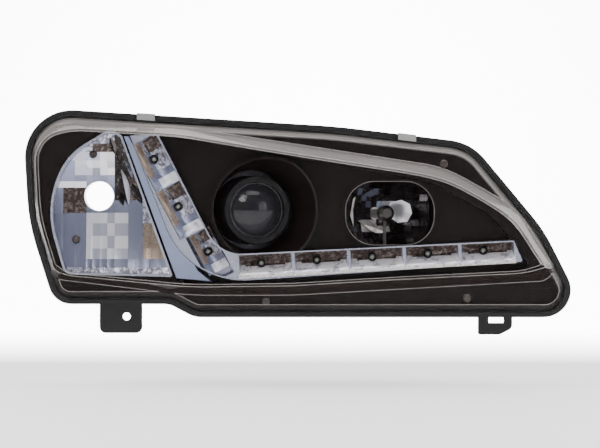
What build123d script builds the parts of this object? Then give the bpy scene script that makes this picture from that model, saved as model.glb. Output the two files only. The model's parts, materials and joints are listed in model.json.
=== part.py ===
"""Swept-back car headlight: a black housing with a stepped clear lens, a faceted turn reflector,
an angled strip of eight daytime LEDs, a projector low beam and a reflector high beam that aim together.

Millimetres. +X runs along the lamp's face towards the car's centre line, +Y runs rearwards square to the
lens rim, +Z is up. The origin is the centre of the outer bracket's bolt hole, on the bracket's front face.
"""

import os
from math import cos, radians, sin, sqrt

from build123d import *

# ---------------------------------------------------------------- driving dimensions
# Sizes along Y are given as heights h in front of the lens rim plane, or as distances w along the beam.
RIM_FORWARD = 30.0  # the rim plane stands this far in front of the brackets
WALL = 2.5  # moulded plastic wall
GAP = 0.3  # clearance between pieces that must not touch
RUN = 0.05  # radial clearance of a shaft or screw in its hole

# Rim outline of the housing, seen from the front: x, z, corner radius.
BASE = [
    (-98, 200, 45),
    (200, 181.5, 700),
    (329, 166, 50),
    (398, 83, 150),
    (440, 0, 26),
    (66, 0, 25),
    (42, 12.5, 20),
    (-67, 12.5, 22),
    (-91.5, 90, 200),
]
FLANGE_T = 10.0  # rim flange that holds the seal groove
LEDGE_IN = 14.5  # the flange reaches this far in from the edge, so the bezel has a ledge to sit on
TRAY_IN = 8.5  # the tray's outer wall stands this far in from the edge
GROOVE_IN, GROOVE_W, GROOVE_D = 4.5, 5.0, 6.0  # seal groove: from the edge, width, depth
TONGUE_W, TONGUE_D, TONGUE_SHIFT = 3.0, 4.0, 1.0  # the lens's tongue in that groove, off its outer side
SEAL_TOP = -0.5

# Clear lens: a flange and a low step round the rim, and a deep bubble over the lamps.
LENS_T = 3.0
LENS_EDGE = 4.0  # the lens flange stands this far in from the housing's edge
STEP_IN, STEP_H, STEP_DRAFT = 6.0, 12.0, 28.0
BUBBLE = [
    (-90, 187, 38),
    (52, 182, 260),
    (304, 143.5, 110),
    (373, 104, 90),
    (416, 35, 12),
    (160, 20.5, 500),
    (62, 20.5, 300),
    (-68, 36, 12),
    (-85.5, 95, 150),
]
BUBBLE_H, BUBBLE_DRAFT = 46.0, 16.0
FACE_R, FACE_X, FACE_Z = 2800.0, 245.0, 90.0  # the front face is part of a large upright cylinder
ROOM = 20.0  # how far cutting blocks run past what they cut
MERGE = 0.5  # how far blocks that join reach into each other
CLIP_W, CLIP_T, CLIP_REACH, CLIP_BLANK = 17.0, 1.0, 5.5, 30.0
CLIPS = [(20, 193), (268, 174)]

# Beam frame: both lamps look this far inboard, because the lamp's face is swept back.
# Sketches in it read (s, z): s along the row of lamps, and w is the distance forward along the beam.
SWEEP = 18.0
LOW_X, LOW_Y, LOW_Z = 125.0, -22.0, 102.0  # centre of the low-beam glass's flat face
HIGH_X, HIGH_Y, HIGH_Z = 252.0, -5.0, 99.0  # centre of the high reflector's mouth

# Rear box of the housing, square to the beam.
BOX_S0, BOX_S1, BOX_Z0, BOX_Z1, BOX_R = -75.0, 178.0, 22.0, 164.0, 14.0
BACK_W = -55.0  # inner face of the box's back wall
LOW_NECK_R, LOW_NECK_END = 46.5, -112.0
HIGH_NECK_R, HIGH_NECK_END = 36.0, -68.0

# Projector low beam, distances w from the glass's flat face.
GLASS_R, GLASS_EDGE, GLASS_DOME = 28.0, 3.0, 13.0
GLASS_LIP = 2.5  # width of the lip the glass rests on
HOLDER_R = 33.0
RING_T, RING_IN, RING_BEVEL = 2.5, 26.0, 1.0
PLATE_W, PLATE_T = -38.0, 3.0  # front face and thickness of the carrier plate
UNIT_FLANGE_R, UNIT_FLANGE_T = 44.0, 3.0
SHUTTER_T, SHUTTER_R, SHUTTER_STEP, SHUTTER_EDGE = 1.0, 36.0, 3.0, 4.0
SHUTTER_MID, SHUTTER_TOP, SHUTTER_TOP_HALF = 18.0, 30.0, 14.0
BOWL_R, BOWL_DEPTH, BOWL_T = 36.0, 54.0, 2.0
CURVE_STEPS = 12  # points along each turned reflector's curve
SEAT_R, SEAT_END = 16.0, -100.0  # bulb seat on the bowl's back
BULB_HOLE_R = 6.5
BULB_BASE_R, BULB_BASE_T, BULB_CUP_R = 11.0, 3.0, 6.2
BULB_R, BULB_L = 4.6, 36.0
SPADE_W, SPADE_T, SPADE_L = 6.3, 0.8, 9.0
WIRE_R, WIRE_DROP, WIRE_HALF = 0.9, 13.0, 6.5  # wire clip: radius, hinge above the bulb, half width
HINGE_R = 1.2  # the clip's hinge pin
LUG_S, LUG_W, LUG_H = 11.0, 2.5, 4.0  # hinge lugs: distance from the bulb, width, height

# High beam reflector.
MOUTH_W, MOUTH_H, MOUTH_R = 92.0, 66.0, 27.0
HIGH_FOCUS, HIGH_DEPTH, HIGH_T = 16.0, 40.0, 2.0
HIGH_SEAT_L = 8.0
SEAT_JOIN, RING_JOIN = 8.0, 16.0  # how far seat and collar ring run forward into the parabola
COLLAR_R, COLLAR_T, COLLAR_LAP = 34.0, 3.0, 6.0
SHIELD_R, SHIELD_L, SHIELD_T, SHIELD_BEVEL = 7.5, 9.0, 1.0, 2.0
SHIELD_GAP = 3.0  # the shield stands this far over the bulb's tip
STEM_W, STEM_T = 3.0, 1.5

# Aiming: a fixed ball, a side adjuster level with it and a levelling motor straight below it.
PIVOT_S, PIVOT_Z, PIVOT_W = 66.0, 143.0, -39.5
SIDE_S, LEVEL_Z = -48.0, 38.0
BALL_R, BALL_GAP, SEAT_BALL_R, SEAT_GAP = 5.0, 0.2, 9.0, 0.25
CROSS_R, CROSS_GAP = 1.5, 0.08  # cross pins: upright on the ball, level on the seat
PIN_SHORT = 1.0  # the upright pin ends this far inside the seat's ball
STUD_SWING = 1.5  # room round the stud in the seat's mouth
STUD_R, STUD_BOSS_R, STUD_END = 3.0, 8.0, -63.0
COLLAR_STEP = 3.0  # how far the stud's collar stands out and forward
AIM_BALL_R, AIM_NECK_R, CUP_R = 4.5, 2.5, 7.5
NECK_REST = 1.0  # the thin neck runs on this far behind the cup
CUP_LIP, CUP_LIP_T, CUP_MOUTH_R = 2.0, 1.5, 4.2
SIDE_ROD_R, SIDE_ROD_END = 3.0, -86.0
BUSH_R, BUSH_FLANGE_R, BUSH_END, BUSH_BEVEL = 8.0, 11.0, -66.0, 2.0
BUSH_REACH = 1.0  # bush and motor reach this far into the box
WHEEL_R, WHEEL_END = 9.0, -76.0
NOTCH_OUT = 0.6  # centres of the grip notches, outside the wheel or knob
WHEEL_NOTCHES, WHEEL_NOTCH_R = 12, 1.5
LEVEL_ROD_R, LEVEL_ROD_END, LEVEL_HOLE_R = 4.0, -77.0, 12.0
MOTOR_W, MOTOR_H, MOTOR_R, MOTOR_W0, MOTOR_END = 42.0, 38.0, 6.0, -60.0, -92.0
MOTOR_FLANGE = 4.0
ROD_ROOM, PIN_ROOM = 7.0, 3.0  # free depth behind the spindle, and round the knob's pin tip
KNOB_R, KNOB_END = 9.0, -100.0
KNOB_NOTCHES, KNOB_NOTCH_R = 10, 1.8
SLOT_ACROSS, SLOT_OPEN, SLOT_DEEP = 10.0, 1.6, 2.0  # screwdriver slot in the knob
MOTOR_PLUG_W, MOTOR_PLUG_H, MOTOR_PLUG_L = 16.0, 10.0, 9.0

# Carrier plate outline in the beam frame: s, z, corner radius.
PLATE = [
    (-60, 155, 8),
    (84, 155, 8),
    (96, 146, 8),
    (166, 146, 12),
    (166, 58, 12),
    (84, 58, 8),
    (78, 26, 6),
    (54, 26, 6),
    (48, 54, 8),
    (-46, 54, 14),
    (-60, 76, 10),
]
PLATE_RIB, PLATE_RIB_T = 3.5, 2.0
BOSS_R, BOSS_BACK, BOSS_FRONT, BOSS_MOUTH_R = 12.5, -46.0, -29.0, 7.5
AIM_BOSS_R = 10.5
CARRIER_SCREW_R, CARRIER_HEAD_R, CARRIER_HEAD_T = 41.0, 2.6, 2.0
CARRIER_SCREW_TURNS = [45, 135, 225, 315]

# Rubber caps.
CAP_T, CAP_GRIP = 3.0, 8.0
LOW_CAP_END, HIGH_CAP_END = -134.0, -82.0
CAP_SLOPE, CAP_CORNER, CAP_INNER_LIP = 6.0, 2.0, 1.0  # the domed end is narrower than the neck
TAB_COUNT, TAB_W, TAB_L, TAB_T = 3, 3.0, 14.0, 4.0

# Turn reflector: a shallow bowl round a bulb opening.
TURN_X, TURN_Z, TURN_HOLE_R = -25.6, 115.4, 14.0
TURN_EDGE = [(46, 38.5, 2), (-2.5, 172.5, 2), (-14, 179, 10), (-52, 156, 60), (-77, 110, 90), (-57, 41, 10)]
TURN_FRONT, TURN_DEPTH, TURN_T, TURN_BOWL_R = 6.0, -18.0, 2.0, 250.0
TURN_NECK_T, TURN_NECK_END = 3.0, -44.0
TURN_SCREWS = [(-31, 155), (-47, 74)]
TURN_SCREW_LIFT = 1.6  # the sloping bowl holds the flat screw heads off its face
SOCKET_COLLAR_T, SOCKET_COLLAR_END = 3.5, -38.0

# Daytime LED strip: three pockets down the diagonal, five along the bottom.
STRIP = [(5, 172.5, 0), (31.5, 174, 0), (90, 59.3, 35), (369, 73, 0), (378, 53, 2), (61, 31.5, 79)]
STRIP_FRONT, STRIP_BACK, STRIP_WALL = 6.0, -10.0, 1.2
BOARD_T, BOARD_W, BOARD_R = 1.6, 13.0, 2.0
UPPER_BOARD_LEAN = -60.0  # the upper board leans a little less than its pockets
LED_R, LED_RIM_R, LED_RIM_T, LED_LEN = 2.5, 2.9, 1.0, 8.6
ROW_X, ROW_Z, ROW_PITCH, ROW_RISE = 129.6, 51.6, 52.7, 3.0
ROW_COUNT, ROW_LEAN = 5, 3.3
DIAGONAL = [(27.5, 150.3), (50.5, 105.2), (79.0, 62.6)]
DIAGONAL_LEAN = -62.0
POCKET_L, POCKET_DEPTH, POCKET_DRAFT = 50.0, 13.0, 12.0
ROW_POCKET_H, DIAGONAL_POCKET_H = 20.0, 26.0
STRIP_POSTS = [(18, 165), (366, 62)]
POCKET_SHIFT = 4.0  # the LED stands this far left of its pocket's middle

# Bezel: a border on the housing's ledge and a recessed field round the two lamps.
BEZEL_IN, BEZEL_T = 11.5, 2.5
FIELD = [
    (4, 176, 4),
    (52, 174, 150),
    (290, 132, 100),
    (352, 98, 70),
    (392, 42, 8),
    (160, 28, 200),
    (54, 29, 4),
]
FIELD_H = -12.0
HOOD_R, HOOD_BACK, HOOD_FRONT, HOOD_FLARE, HOOD_TOP = 38.0, -14.0, 26.0, 13.0, 8.0
HIGH_OPEN_W, HIGH_OPEN_H, HIGH_OPEN_R, HIGH_LIP = 84.0, 60.0, 27.0, 3.0
BEZEL_SCREWS = [(303, 146), (134, 14.8), (325, 18.5)]
SCREW_R, SCREW_HEAD_R, SCREW_HEAD_T, SCREW_L, SCREW_CROSS = 1.8, 3.8, 2.2, 12.0, 1.0
SCREW_TOP_R = 2.66
POST_R = 5.0

# Divider fin between the turn reflector and the strip.
FIN = [(-1.8, 172.6, 0), (4.3, 172.6, 0), (70, 45, 0), (84, 33.5, 0), (48.5, 36.5, 0)]
FIN_BACK, FIN_T, FIN_DRAFT = -10.0, 19.0, 3.0

# Brackets: flat steel plates bolted to the back of the tray.
BRACKET_T = 3.0
OUTER_X0, OUTER_X1, OUTER_Z0, OUTER_Z1, OUTER_HOLE_R = -26.0, 15.0, -16.0, 40.0, 3.75
INNER_X0, INNER_X1, INNER_Z0, INNER_Z1 = 337.0, 370.0, -17.5, 36.0
SLOT_W, SLOT_H, SLOT_R, SLOT_X, SLOT_Z = 14.6, 5.5, 1.0, 354.5, -3.4
INNER_CUT_X, INNER_CUT_Z, INNER_CORNER_R = 12.0, 6.0, 2.0
CORNER_R = 6.0
BRACKET_SCREWS = [(-17, 31), (6, 31), (345, 27), (362, 27)]

# Wiring socket and vent.
SOCKET_X, SOCKET_Z, SOCKET_W, SOCKET_H, SOCKET_L, SOCKET_T = 346.0, 88.0, 28.0, 18.0, 22.0, 2.0
SOCKET_FLOOR, SOCKET_RIM = 6.0, 4.0
PIN_W, PIN_L, PIN_PITCH, PIN_COUNT = 1.5, 9.0, 7.0, 3
VENT_S, VENT_Z, VENT_R, VENT_BORE, VENT_END = -58.0, 46.0, 6.0, 4.0, -66.0
VENT_CAP_T, VENT_GRIP = 2.0, 5.0

os.makedirs("parts", exist_ok=True)

BEAM = Vector(sin(radians(SWEEP)), -cos(radians(SWEEP)), 0)
ALONG = Vector(cos(radians(SWEEP)), sin(radians(SWEEP)), 0)
HIGH_S = (HIGH_X - LOW_X) * ALONG.X + (HIGH_Y - LOW_Y) * ALONG.Y
HIGH_MOUTH = (HIGH_X - LOW_X) * BEAM.X + (HIGH_Y - LOW_Y) * BEAM.Y
TRAY_BACK = -RIM_FORWARD
TRAY_FLOOR = TRAY_BACK + WALL
BACK_OUT = BACK_W - WALL
TUBE_R = TURN_HOLE_R + TURN_NECK_T + GAP  # bore of the housing's tube round the turn reflector's neck
NECK_END = BOSS_BACK - NECK_REST
FAR = 400.0


# ---------------------------------------------------------------- frames and helpers
def beam_point(s, w, z):
    """A point s along the lamps' row and w forward of the low glass's flat face, at height z."""
    return Vector(LOW_X, LOW_Y, 0) + ALONG * s + BEAM * w + Vector(0, 0, z)


def beam_plane(w, s=0.0, z=0.0):
    """Square to the beam and facing forward."""
    return Plane(origin=beam_point(s, w, z), x_dir=ALONG, z_dir=BEAM)


def beam_lathe(s, z):
    """Holds the beam line through (s, z); sketches on it read (radius, w)."""
    return Plane(origin=beam_point(s, 0, z), x_dir=ALONG, z_dir=(0, 0, -1))


def rim(h=0.0):
    """Parallel to the rim plane, h in front of it; sketches on it read (x, z)."""
    return Plane.XZ.offset(RIM_FORWARD + h)


def rim_lathe(x, z):
    """Holds the line through (x, z) square to the rim; sketches on it read (radius, h)."""
    return Plane(origin=(x, -RIM_FORWARD, z), x_dir=(1, 0, 0), z_dir=(0, 0, -1))


def outline(corners, grow=0.0):
    """A flat shape with rounded corners, grown or shrunk all round."""
    with BuildSketch() as shape:
        with BuildLine():
            FilletPolyline(*[(x, z) for x, z, r in corners], radius=[r for x, z, r in corners], close=True)
        make_face()
        if grow:
            offset(amount=grow, kind=Kind.INTERSECTION)
    return shape.sketch


def band(corners, outer, inner):
    """The ring between two offsets of a shape, both measured inwards."""
    with BuildSketch() as shape:
        add(outline(corners, -outer))
        add(outline(corners, -inner), mode=Mode.SUBTRACT)
    return shape.sketch


def slab(shape, h0, h1, taper=0.0):
    """A flat shape made solid from height h0 to height h1 over the rim plane."""
    with BuildPart() as piece:
        with BuildSketch(rim(h0)):
            add(shape)
        extrude(amount=h1 - h0, taper=taper)
    return piece.part


def turned(profile, plane):
    """A piece turned about the plane's Y axis, from (radius, forward) points."""
    with BuildPart() as piece:
        with BuildSketch(plane):
            with BuildLine():
                Polyline(*profile, close=True)
            make_face()
        revolve(axis=Axis(plane.origin, plane.y_dir))
    return piece.part


def rod(plane, r, w0, w1, bore=0.0):
    """A round bar or tube along the plane's Y axis."""
    return turned([(bore, w0), (r, w0), (r, w1), (bore, w1)], plane)


def screw(plane, seat):
    """A cross-head screw whose head rests at height seat."""
    top = seat + SCREW_HEAD_T
    profile = [
        (0, seat - SCREW_L),
        (SCREW_R, seat - SCREW_L + SCREW_R),
        (SCREW_R, seat),
        (SCREW_HEAD_R, seat),
        (SCREW_HEAD_R, seat + SCREW_HEAD_T / 2),
        (SCREW_TOP_R, top),
        (0, top),
    ]
    face = Plane(origin=plane.origin + plane.y_dir * top, x_dir=plane.x_dir, z_dir=plane.y_dir)
    body = turned(profile, plane)
    with BuildPart() as piece:
        add(body)
        with BuildSketch(face):
            Rectangle(SCREW_HEAD_R, SCREW_CROSS)
            Rectangle(SCREW_CROSS, SCREW_HEAD_R)
        extrude(amount=-SCREW_HEAD_T / 2, mode=Mode.SUBTRACT)
    return piece.part


def save(piece, name):
    piece.part.label = name
    export_step(piece.part, f"parts/{name}.step")
    print(name, len(piece.part.solids()), piece.part.is_valid)


def bowl_height(x, z):
    """Height of the turn reflector's bright face."""
    away = (x - TURN_X) ** 2 + (z - TURN_Z) ** 2
    return TURN_DEPTH + TURN_BOWL_R - sqrt(TURN_BOWL_R**2 - away)


# ---------------------------------------------------------------- housing
def box_block(inset, back):
    """The rear box, square to the beam, cut off behind the rim flange."""
    with BuildPart() as block:
        with BuildSketch(beam_plane(back)):
            with Locations(((BOX_S0 + BOX_S1) / 2, (BOX_Z0 + BOX_Z1) / 2)):
                RectangleRounded(BOX_S1 - BOX_S0 - 2 * inset, BOX_Z1 - BOX_Z0 - 2 * inset, BOX_R - inset)
        extrude(amount=FAR)
        split(bisect_by=rim(-FLANGE_T), keep=Keep.BOTTOM)
    return block.part


LOW_LATHE = beam_lathe(0, LOW_Z)
HIGH_LATHE = beam_lathe(HIGH_S, HIGH_Z)
PIVOT_LATHE = beam_lathe(PIVOT_S, PIVOT_Z)
SIDE_LATHE = beam_lathe(SIDE_S, PIVOT_Z)
LEVEL_LATHE = beam_lathe(PIVOT_S, LEVEL_Z)
VENT_LATHE = beam_lathe(VENT_S, VENT_Z)
TURN_LATHE = rim_lathe(TURN_X, TURN_Z)

solid_pieces = [
    box_block(0, BACK_OUT),
    rod(LOW_LATHE, LOW_NECK_R, LOW_NECK_END, BACK_W),
    rod(HIGH_LATHE, HIGH_NECK_R, HIGH_NECK_END, BACK_W),
    slab(outline(BASE), -FLANGE_T, 0),
    slab(outline(BASE, -TRAY_IN), TRAY_BACK, -FLANGE_T),
    rod(TURN_LATHE, TUBE_R + SOCKET_COLLAR_T, SOCKET_COLLAR_END, TRAY_FLOOR),
]
hollow_pieces = [
    slab(outline(BASE, -LEDGE_IN), -FLANGE_T, 0),
    slab(outline(BASE, -TRAY_IN - WALL), TRAY_FLOOR, -FLANGE_T),
    box_block(WALL, BACK_W),
    rod(LOW_LATHE, LOW_NECK_R - WALL, LOW_NECK_END, BACK_W),
    rod(HIGH_LATHE, HIGH_NECK_R - WALL, HIGH_NECK_END, BACK_W),
    slab(band(BASE, GROOVE_IN, GROOVE_IN + GROOVE_W), -GROOVE_D, 0),
]
post_tops = [(x, z, 0) for x, z in BEZEL_SCREWS]
post_tops += [(x, z, bowl_height(x, z) - 2 * TURN_T) for x, z in TURN_SCREWS]
post_tops += [(x, z, TRAY_BACK + SCREW_L) for x, z in BRACKET_SCREWS]
posts = [rod(rim_lathe(x, z), POST_R, TRAY_FLOOR, top) for x, z, top in post_tops]
posts += [rod(rim_lathe(x, z), POST_R, TRAY_FLOOR, STRIP_BACK) for x, z in STRIP_POSTS]
post_holes = [rod(rim_lathe(x, z), SCREW_R, TRAY_FLOOR, top) for x, z, top in post_tops]
back_bosses = [
    rod(PIVOT_LATHE, STUD_BOSS_R, STUD_END, BACK_W),
    rod(VENT_LATHE, VENT_R, VENT_END, BACK_W),
]
back_holes = [
    rod(PIVOT_LATHE, STUD_R, STUD_END, BACK_W),
    rod(VENT_LATHE, VENT_BORE, VENT_END, BACK_W),
    rod(SIDE_LATHE, BUSH_R, BACK_OUT, BACK_W),
    rod(LEVEL_LATHE, LEVEL_HOLE_R, BACK_OUT, BACK_W),
    rod(TURN_LATHE, TUBE_R, SOCKET_COLLAR_END, TRAY_FLOOR),
]
bracket_holes = [rod(rim_lathe(x, z), SCREW_R, TRAY_BACK, TRAY_FLOOR) for x, z in BRACKET_SCREWS]

with BuildPart() as housing:
    add(solid_pieces)
    add(hollow_pieces, mode=Mode.SUBTRACT)
    add(posts)
    add(back_bosses)
    add(back_holes + bracket_holes + post_holes, mode=Mode.SUBTRACT)
    # wiring socket hole in the tray's floor
    with BuildSketch(rim(TRAY_BACK)):
        with Locations((SOCKET_X, SOCKET_Z)):
            Rectangle(SOCKET_W, SOCKET_H)
    extrude(amount=WALL, mode=Mode.SUBTRACT)
save(housing, "housing")


# ---------------------------------------------------------------- clear lens and its fixings
def face_form(back):
    """Everything behind the curved front face, moved back by that much."""
    with BuildPart() as form:
        with Locations((FACE_X, FACE_R - RIM_FORWARD - BUBBLE_H + back, FACE_Z)):
            Cylinder(FACE_R, FAR)
    return form.part


def bubble(shrink, h0, back):
    """The bubble's drafted block, cut to the curved front face."""
    block = slab(outline(BUBBLE, -shrink), h0, BUBBLE_H + ROOM, BUBBLE_DRAFT)
    form = face_form(back)
    with BuildPart() as piece:
        add(block)
        add(form, mode=Mode.INTERSECT)
    return piece.part


flange = slab(outline(BASE, -LENS_EDGE), 0, LENS_T)
step = slab(outline(BASE, -STEP_IN), 0, STEP_H, STEP_DRAFT)
step_hollow = slab(outline(BASE, -STEP_IN - LENS_T), 0, STEP_H - LENS_T, STEP_DRAFT)
tongue = slab(band(BASE, GROOVE_IN + TONGUE_SHIFT, GROOVE_IN + TONGUE_SHIFT + TONGUE_W), -TONGUE_D, 0)
bubble_out = bubble(0, STEP_H - LENS_T, 0)
bubble_in = bubble(LENS_T, STEP_H - LENS_T - MERGE, LENS_T)

with BuildPart() as lens:
    add(bubble_out)
    add(step)
    add(flange)
    add(tongue)
    add(bubble_in, mode=Mode.SUBTRACT)
    add(step_hollow, mode=Mode.SUBTRACT)
save(lens, "lens")

seal_ring = slab(band(BASE, GROOVE_IN, GROOVE_IN + GROOVE_W), -GROOVE_D, SEAL_TOP)
with BuildPart() as lens_seal:
    add(seal_ring)
    add(tongue, mode=Mode.SUBTRACT)
save(lens_seal, "lens_seal")

clip_outer = slab(band(BASE, -CLIP_T, CLIP_REACH), -FLANGE_T - CLIP_T, LENS_T + CLIP_T)
clip_inner = slab(outline(BASE), -FLANGE_T, LENS_T)
with BuildPart() as lens_clips:
    with BuildSketch(rim(-FLANGE_T - CLIP_T)):
        with Locations(CLIPS):
            Rectangle(CLIP_W, CLIP_BLANK)
    extrude(amount=FLANGE_T + LENS_T + 2 * CLIP_T)
    add(clip_outer, mode=Mode.INTERSECT)
    add(clip_inner, mode=Mode.SUBTRACT)
save(lens_clips, "lens_clips")

# ---------------------------------------------------------------- bezel
strip_cut = slab(outline(STRIP, GAP), STRIP_BACK - ROOM / 2, STRIP_FRONT + ROOM)
turn_cut = slab(outline(TURN_EDGE, GAP), TRAY_BACK, STRIP_FRONT + ROOM)
fin_cut = slab(outline(FIN, GAP), TRAY_BACK, FIN_T + ROOM)
field_out = slab(outline(FIELD), FIELD_H - BEZEL_T, BEZEL_T)
field_in = slab(outline(FIELD, -BEZEL_T), FIELD_H, BEZEL_T)
border = slab(outline(BASE, -BEZEL_IN), 0, BEZEL_T)
hood_past = 2 * HOOD_FRONT - HOOD_BACK  # the hood's inside runs on at its slope, to a height past its front
hood_out = turned(
    [
        (0, HOOD_BACK),
        (HOOD_R + BEZEL_T, HOOD_BACK),
        (HOOD_R + BEZEL_T + HOOD_FLARE, HOOD_FRONT),
        (0, HOOD_FRONT),
    ],
    LOW_LATHE,
)
hood_in = turned(
    [
        (0, HOOD_BACK - ROOM),
        (HOOD_R, HOOD_BACK - ROOM),
        (HOOD_R, HOOD_BACK),
        (HOOD_R + 2 * HOOD_FLARE, hood_past),
        (0, hood_past),
    ],
    LOW_LATHE,
)
hood_limit = slab(outline(FIELD), TRAY_BACK, HOOD_TOP)
with BuildPart() as hood:
    add(hood_out)
    add(hood_limit, mode=Mode.INTERSECT)

with BuildPart() as bezel:
    add(border)
    add(field_out)
    add(field_in, mode=Mode.SUBTRACT)
    add(hood.part)
    # raised lip round the high beam's opening
    with BuildSketch(rim(FIELD_H - BEZEL_T)):
        with Locations((HIGH_X, HIGH_Z)):
            RectangleRounded(HIGH_OPEN_W + 2 * HIGH_LIP, HIGH_OPEN_H + 2 * HIGH_LIP, HIGH_OPEN_R + HIGH_LIP)
    extrude(amount=BEZEL_T + HIGH_LIP)
    with BuildSketch(rim(TRAY_BACK)):
        with Locations((HIGH_X, HIGH_Z)):
            RectangleRounded(HIGH_OPEN_W, HIGH_OPEN_H, HIGH_OPEN_R)
    extrude(amount=-TRAY_BACK, mode=Mode.SUBTRACT)
    add(hood_in, mode=Mode.SUBTRACT)
    add([strip_cut, turn_cut, fin_cut], mode=Mode.SUBTRACT)
    with BuildSketch(rim(0)):
        with Locations(BEZEL_SCREWS):
            Circle(SCREW_R + RUN)
    extrude(amount=BEZEL_T, mode=Mode.SUBTRACT)
save(bezel, "bezel")

bezel_screw_list = [screw(rim_lathe(x, z), BEZEL_T) for x, z in BEZEL_SCREWS]
with BuildPart() as bezel_screws:
    add(bezel_screw_list)
save(bezel_screws, "bezel_screws")

# ---------------------------------------------------------------- turn reflector
bowl_centre = (TURN_X, -RIM_FORWARD - TURN_DEPTH - TURN_BOWL_R, TURN_Z)
turn_neck = rod(TURN_LATHE, TURN_HOLE_R + TURN_NECK_T, TURN_NECK_END, TURN_DEPTH, TURN_HOLE_R)
turn_block = slab(outline(TURN_EDGE), 2 * TURN_DEPTH, TURN_FRONT)
turn_core = slab(outline(TURN_EDGE, -TURN_T), 2 * TURN_DEPTH, TURN_FRONT)

with BuildPart() as turn_core_bowl:
    with Locations(bowl_centre):
        Sphere(TURN_BOWL_R)
    add(turn_core, mode=Mode.INTERSECT)

with BuildPart() as turn_reflector:
    with Locations(bowl_centre):
        Sphere(TURN_BOWL_R + TURN_T)
    add(turn_block, mode=Mode.INTERSECT)
    add(turn_core_bowl.part, mode=Mode.SUBTRACT)
    add(turn_neck)
    with BuildSketch(rim(TURN_NECK_END)):
        with Locations((TURN_X, TURN_Z)):
            Circle(TURN_HOLE_R)
        with Locations(TURN_SCREWS):
            Circle(SCREW_R + RUN)
    extrude(amount=-TURN_NECK_END, mode=Mode.SUBTRACT)
save(turn_reflector, "turn_reflector")

turn_screw_list = [screw(rim_lathe(x, z), bowl_height(x, z) + TURN_SCREW_LIFT) for x, z in TURN_SCREWS]
with BuildPart() as turn_screws:
    add(turn_screw_list)
save(turn_screws, "turn_reflector_screws")

# ---------------------------------------------------------------- daytime LED strip
row = [(ROW_X + i * ROW_PITCH, ROW_Z + i * ROW_RISE) for i in range(ROW_COUNT)]
strip_block = slab(outline(STRIP), STRIP_BACK, STRIP_FRONT)
strip_core = slab(outline(STRIP, -STRIP_WALL), TRAY_BACK, STRIP_FRONT)

with BuildPart() as pockets:
    for lean, places, high in ((ROW_LEAN, row, ROW_POCKET_H), (DIAGONAL_LEAN, DIAGONAL, DIAGONAL_POCKET_H)):
        for x, z in places:
            shift_x = POCKET_SHIFT * cos(radians(lean))
            shift_z = POCKET_SHIFT * sin(radians(lean))
            with BuildSketch(rim(STRIP_FRONT)):
                with Locations(Location((x + shift_x, z + shift_z), lean)):
                    Rectangle(POCKET_L, high)
            extrude(amount=-POCKET_DEPTH, taper=POCKET_DRAFT)
    add(strip_core, mode=Mode.INTERSECT)

with BuildPart() as drl_tray:
    add(strip_block)
    add(pockets.part, mode=Mode.SUBTRACT)
    with BuildSketch(rim(STRIP_BACK)):
        with Locations(row + DIAGONAL):
            Circle(LED_RIM_R + RUN)
    extrude(amount=STRIP_FRONT - STRIP_BACK, mode=Mode.SUBTRACT)
save(drl_tray, "drl_tray")

for number, (x, z) in enumerate(DIAGONAL + row, start=1):
    led_lathe = rim_lathe(x, z)
    rim_top, tip = STRIP_BACK + LED_RIM_T, STRIP_BACK + LED_LEN
    with BuildPart() as led:
        with BuildSketch(led_lathe):
            with BuildLine():
                Polyline((0, STRIP_BACK), (LED_RIM_R, STRIP_BACK), (LED_RIM_R, rim_top))
                Polyline((LED_RIM_R, rim_top), (LED_R, rim_top), (LED_R, tip - LED_R))
                RadiusArc((LED_R, tip - LED_R), (0, tip), -LED_R)
                Line((0, tip), (0, STRIP_BACK))
            make_face()
        revolve(axis=Axis(led_lathe.origin, led_lathe.y_dir))
    save(led, f"led_{number}")

row_mid = ((row[0][0] + row[-1][0]) / 2, (row[0][1] + row[-1][1]) / 2)
with BuildPart() as led_board_lower:
    with BuildSketch(rim(STRIP_BACK - BOARD_T)):
        with Locations(Location(row_mid, ROW_LEAN)):
            RectangleRounded(row[-1][0] - row[0][0] + BOARD_W, BOARD_W, BOARD_R)
    extrude(amount=BOARD_T)
save(led_board_lower, "led_board_lower")

top, middle, bottom = DIAGONAL
diagonal_mid = ((top[0] + bottom[0]) / 2, (top[1] + bottom[1]) / 2)
diagonal_len = sqrt((bottom[0] - top[0]) ** 2 + (top[1] - bottom[1]) ** 2)
with BuildPart() as led_board_upper:
    with BuildSketch(rim(STRIP_BACK - BOARD_T)):
        with Locations(Location(diagonal_mid, UPPER_BOARD_LEAN)):
            RectangleRounded(diagonal_len + BOARD_W, BOARD_W, BOARD_R)
    extrude(amount=BOARD_T)
save(led_board_upper, "led_board_upper")

fin_block = slab(outline(FIN), FIN_BACK, FIN_BACK + FIN_T, FIN_DRAFT)
fin_clear = [
    slab(outline(STRIP, GAP), FIN_BACK, FIN_T),
    slab(outline(TURN_EDGE, GAP), FIN_BACK, FIN_T),
]
with BuildPart() as divider_fin:
    add(fin_block)
    add(fin_clear, mode=Mode.SUBTRACT)
save(divider_fin, "divider_fin")

# ---------------------------------------------------------------- low-beam projector
ring_lip = GLASS_R - GLASS_LIP
flange_back = PLATE_W
flange_front = PLATE_W + UNIT_FLANGE_T
holder_profile = [
    (ring_lip, -GLASS_EDGE - GLASS_LIP),
    (ring_lip, -GLASS_EDGE),
    (GLASS_R + GAP, -GLASS_EDGE),
    (GLASS_R + GAP, 0),
    (HOLDER_R, 0),
    (HOLDER_R, flange_front),
    (UNIT_FLANGE_R, flange_front),
    (UNIT_FLANGE_R, flange_back),
    (HOLDER_R - WALL, flange_back),
    (HOLDER_R - WALL, -GLASS_EDGE - GLASS_LIP),
]
holder_body = turned(holder_profile, LOW_LATHE)
with BuildPart() as low_lens_holder:
    add(holder_body)
save(low_lens_holder, "low_lens_holder")

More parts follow.
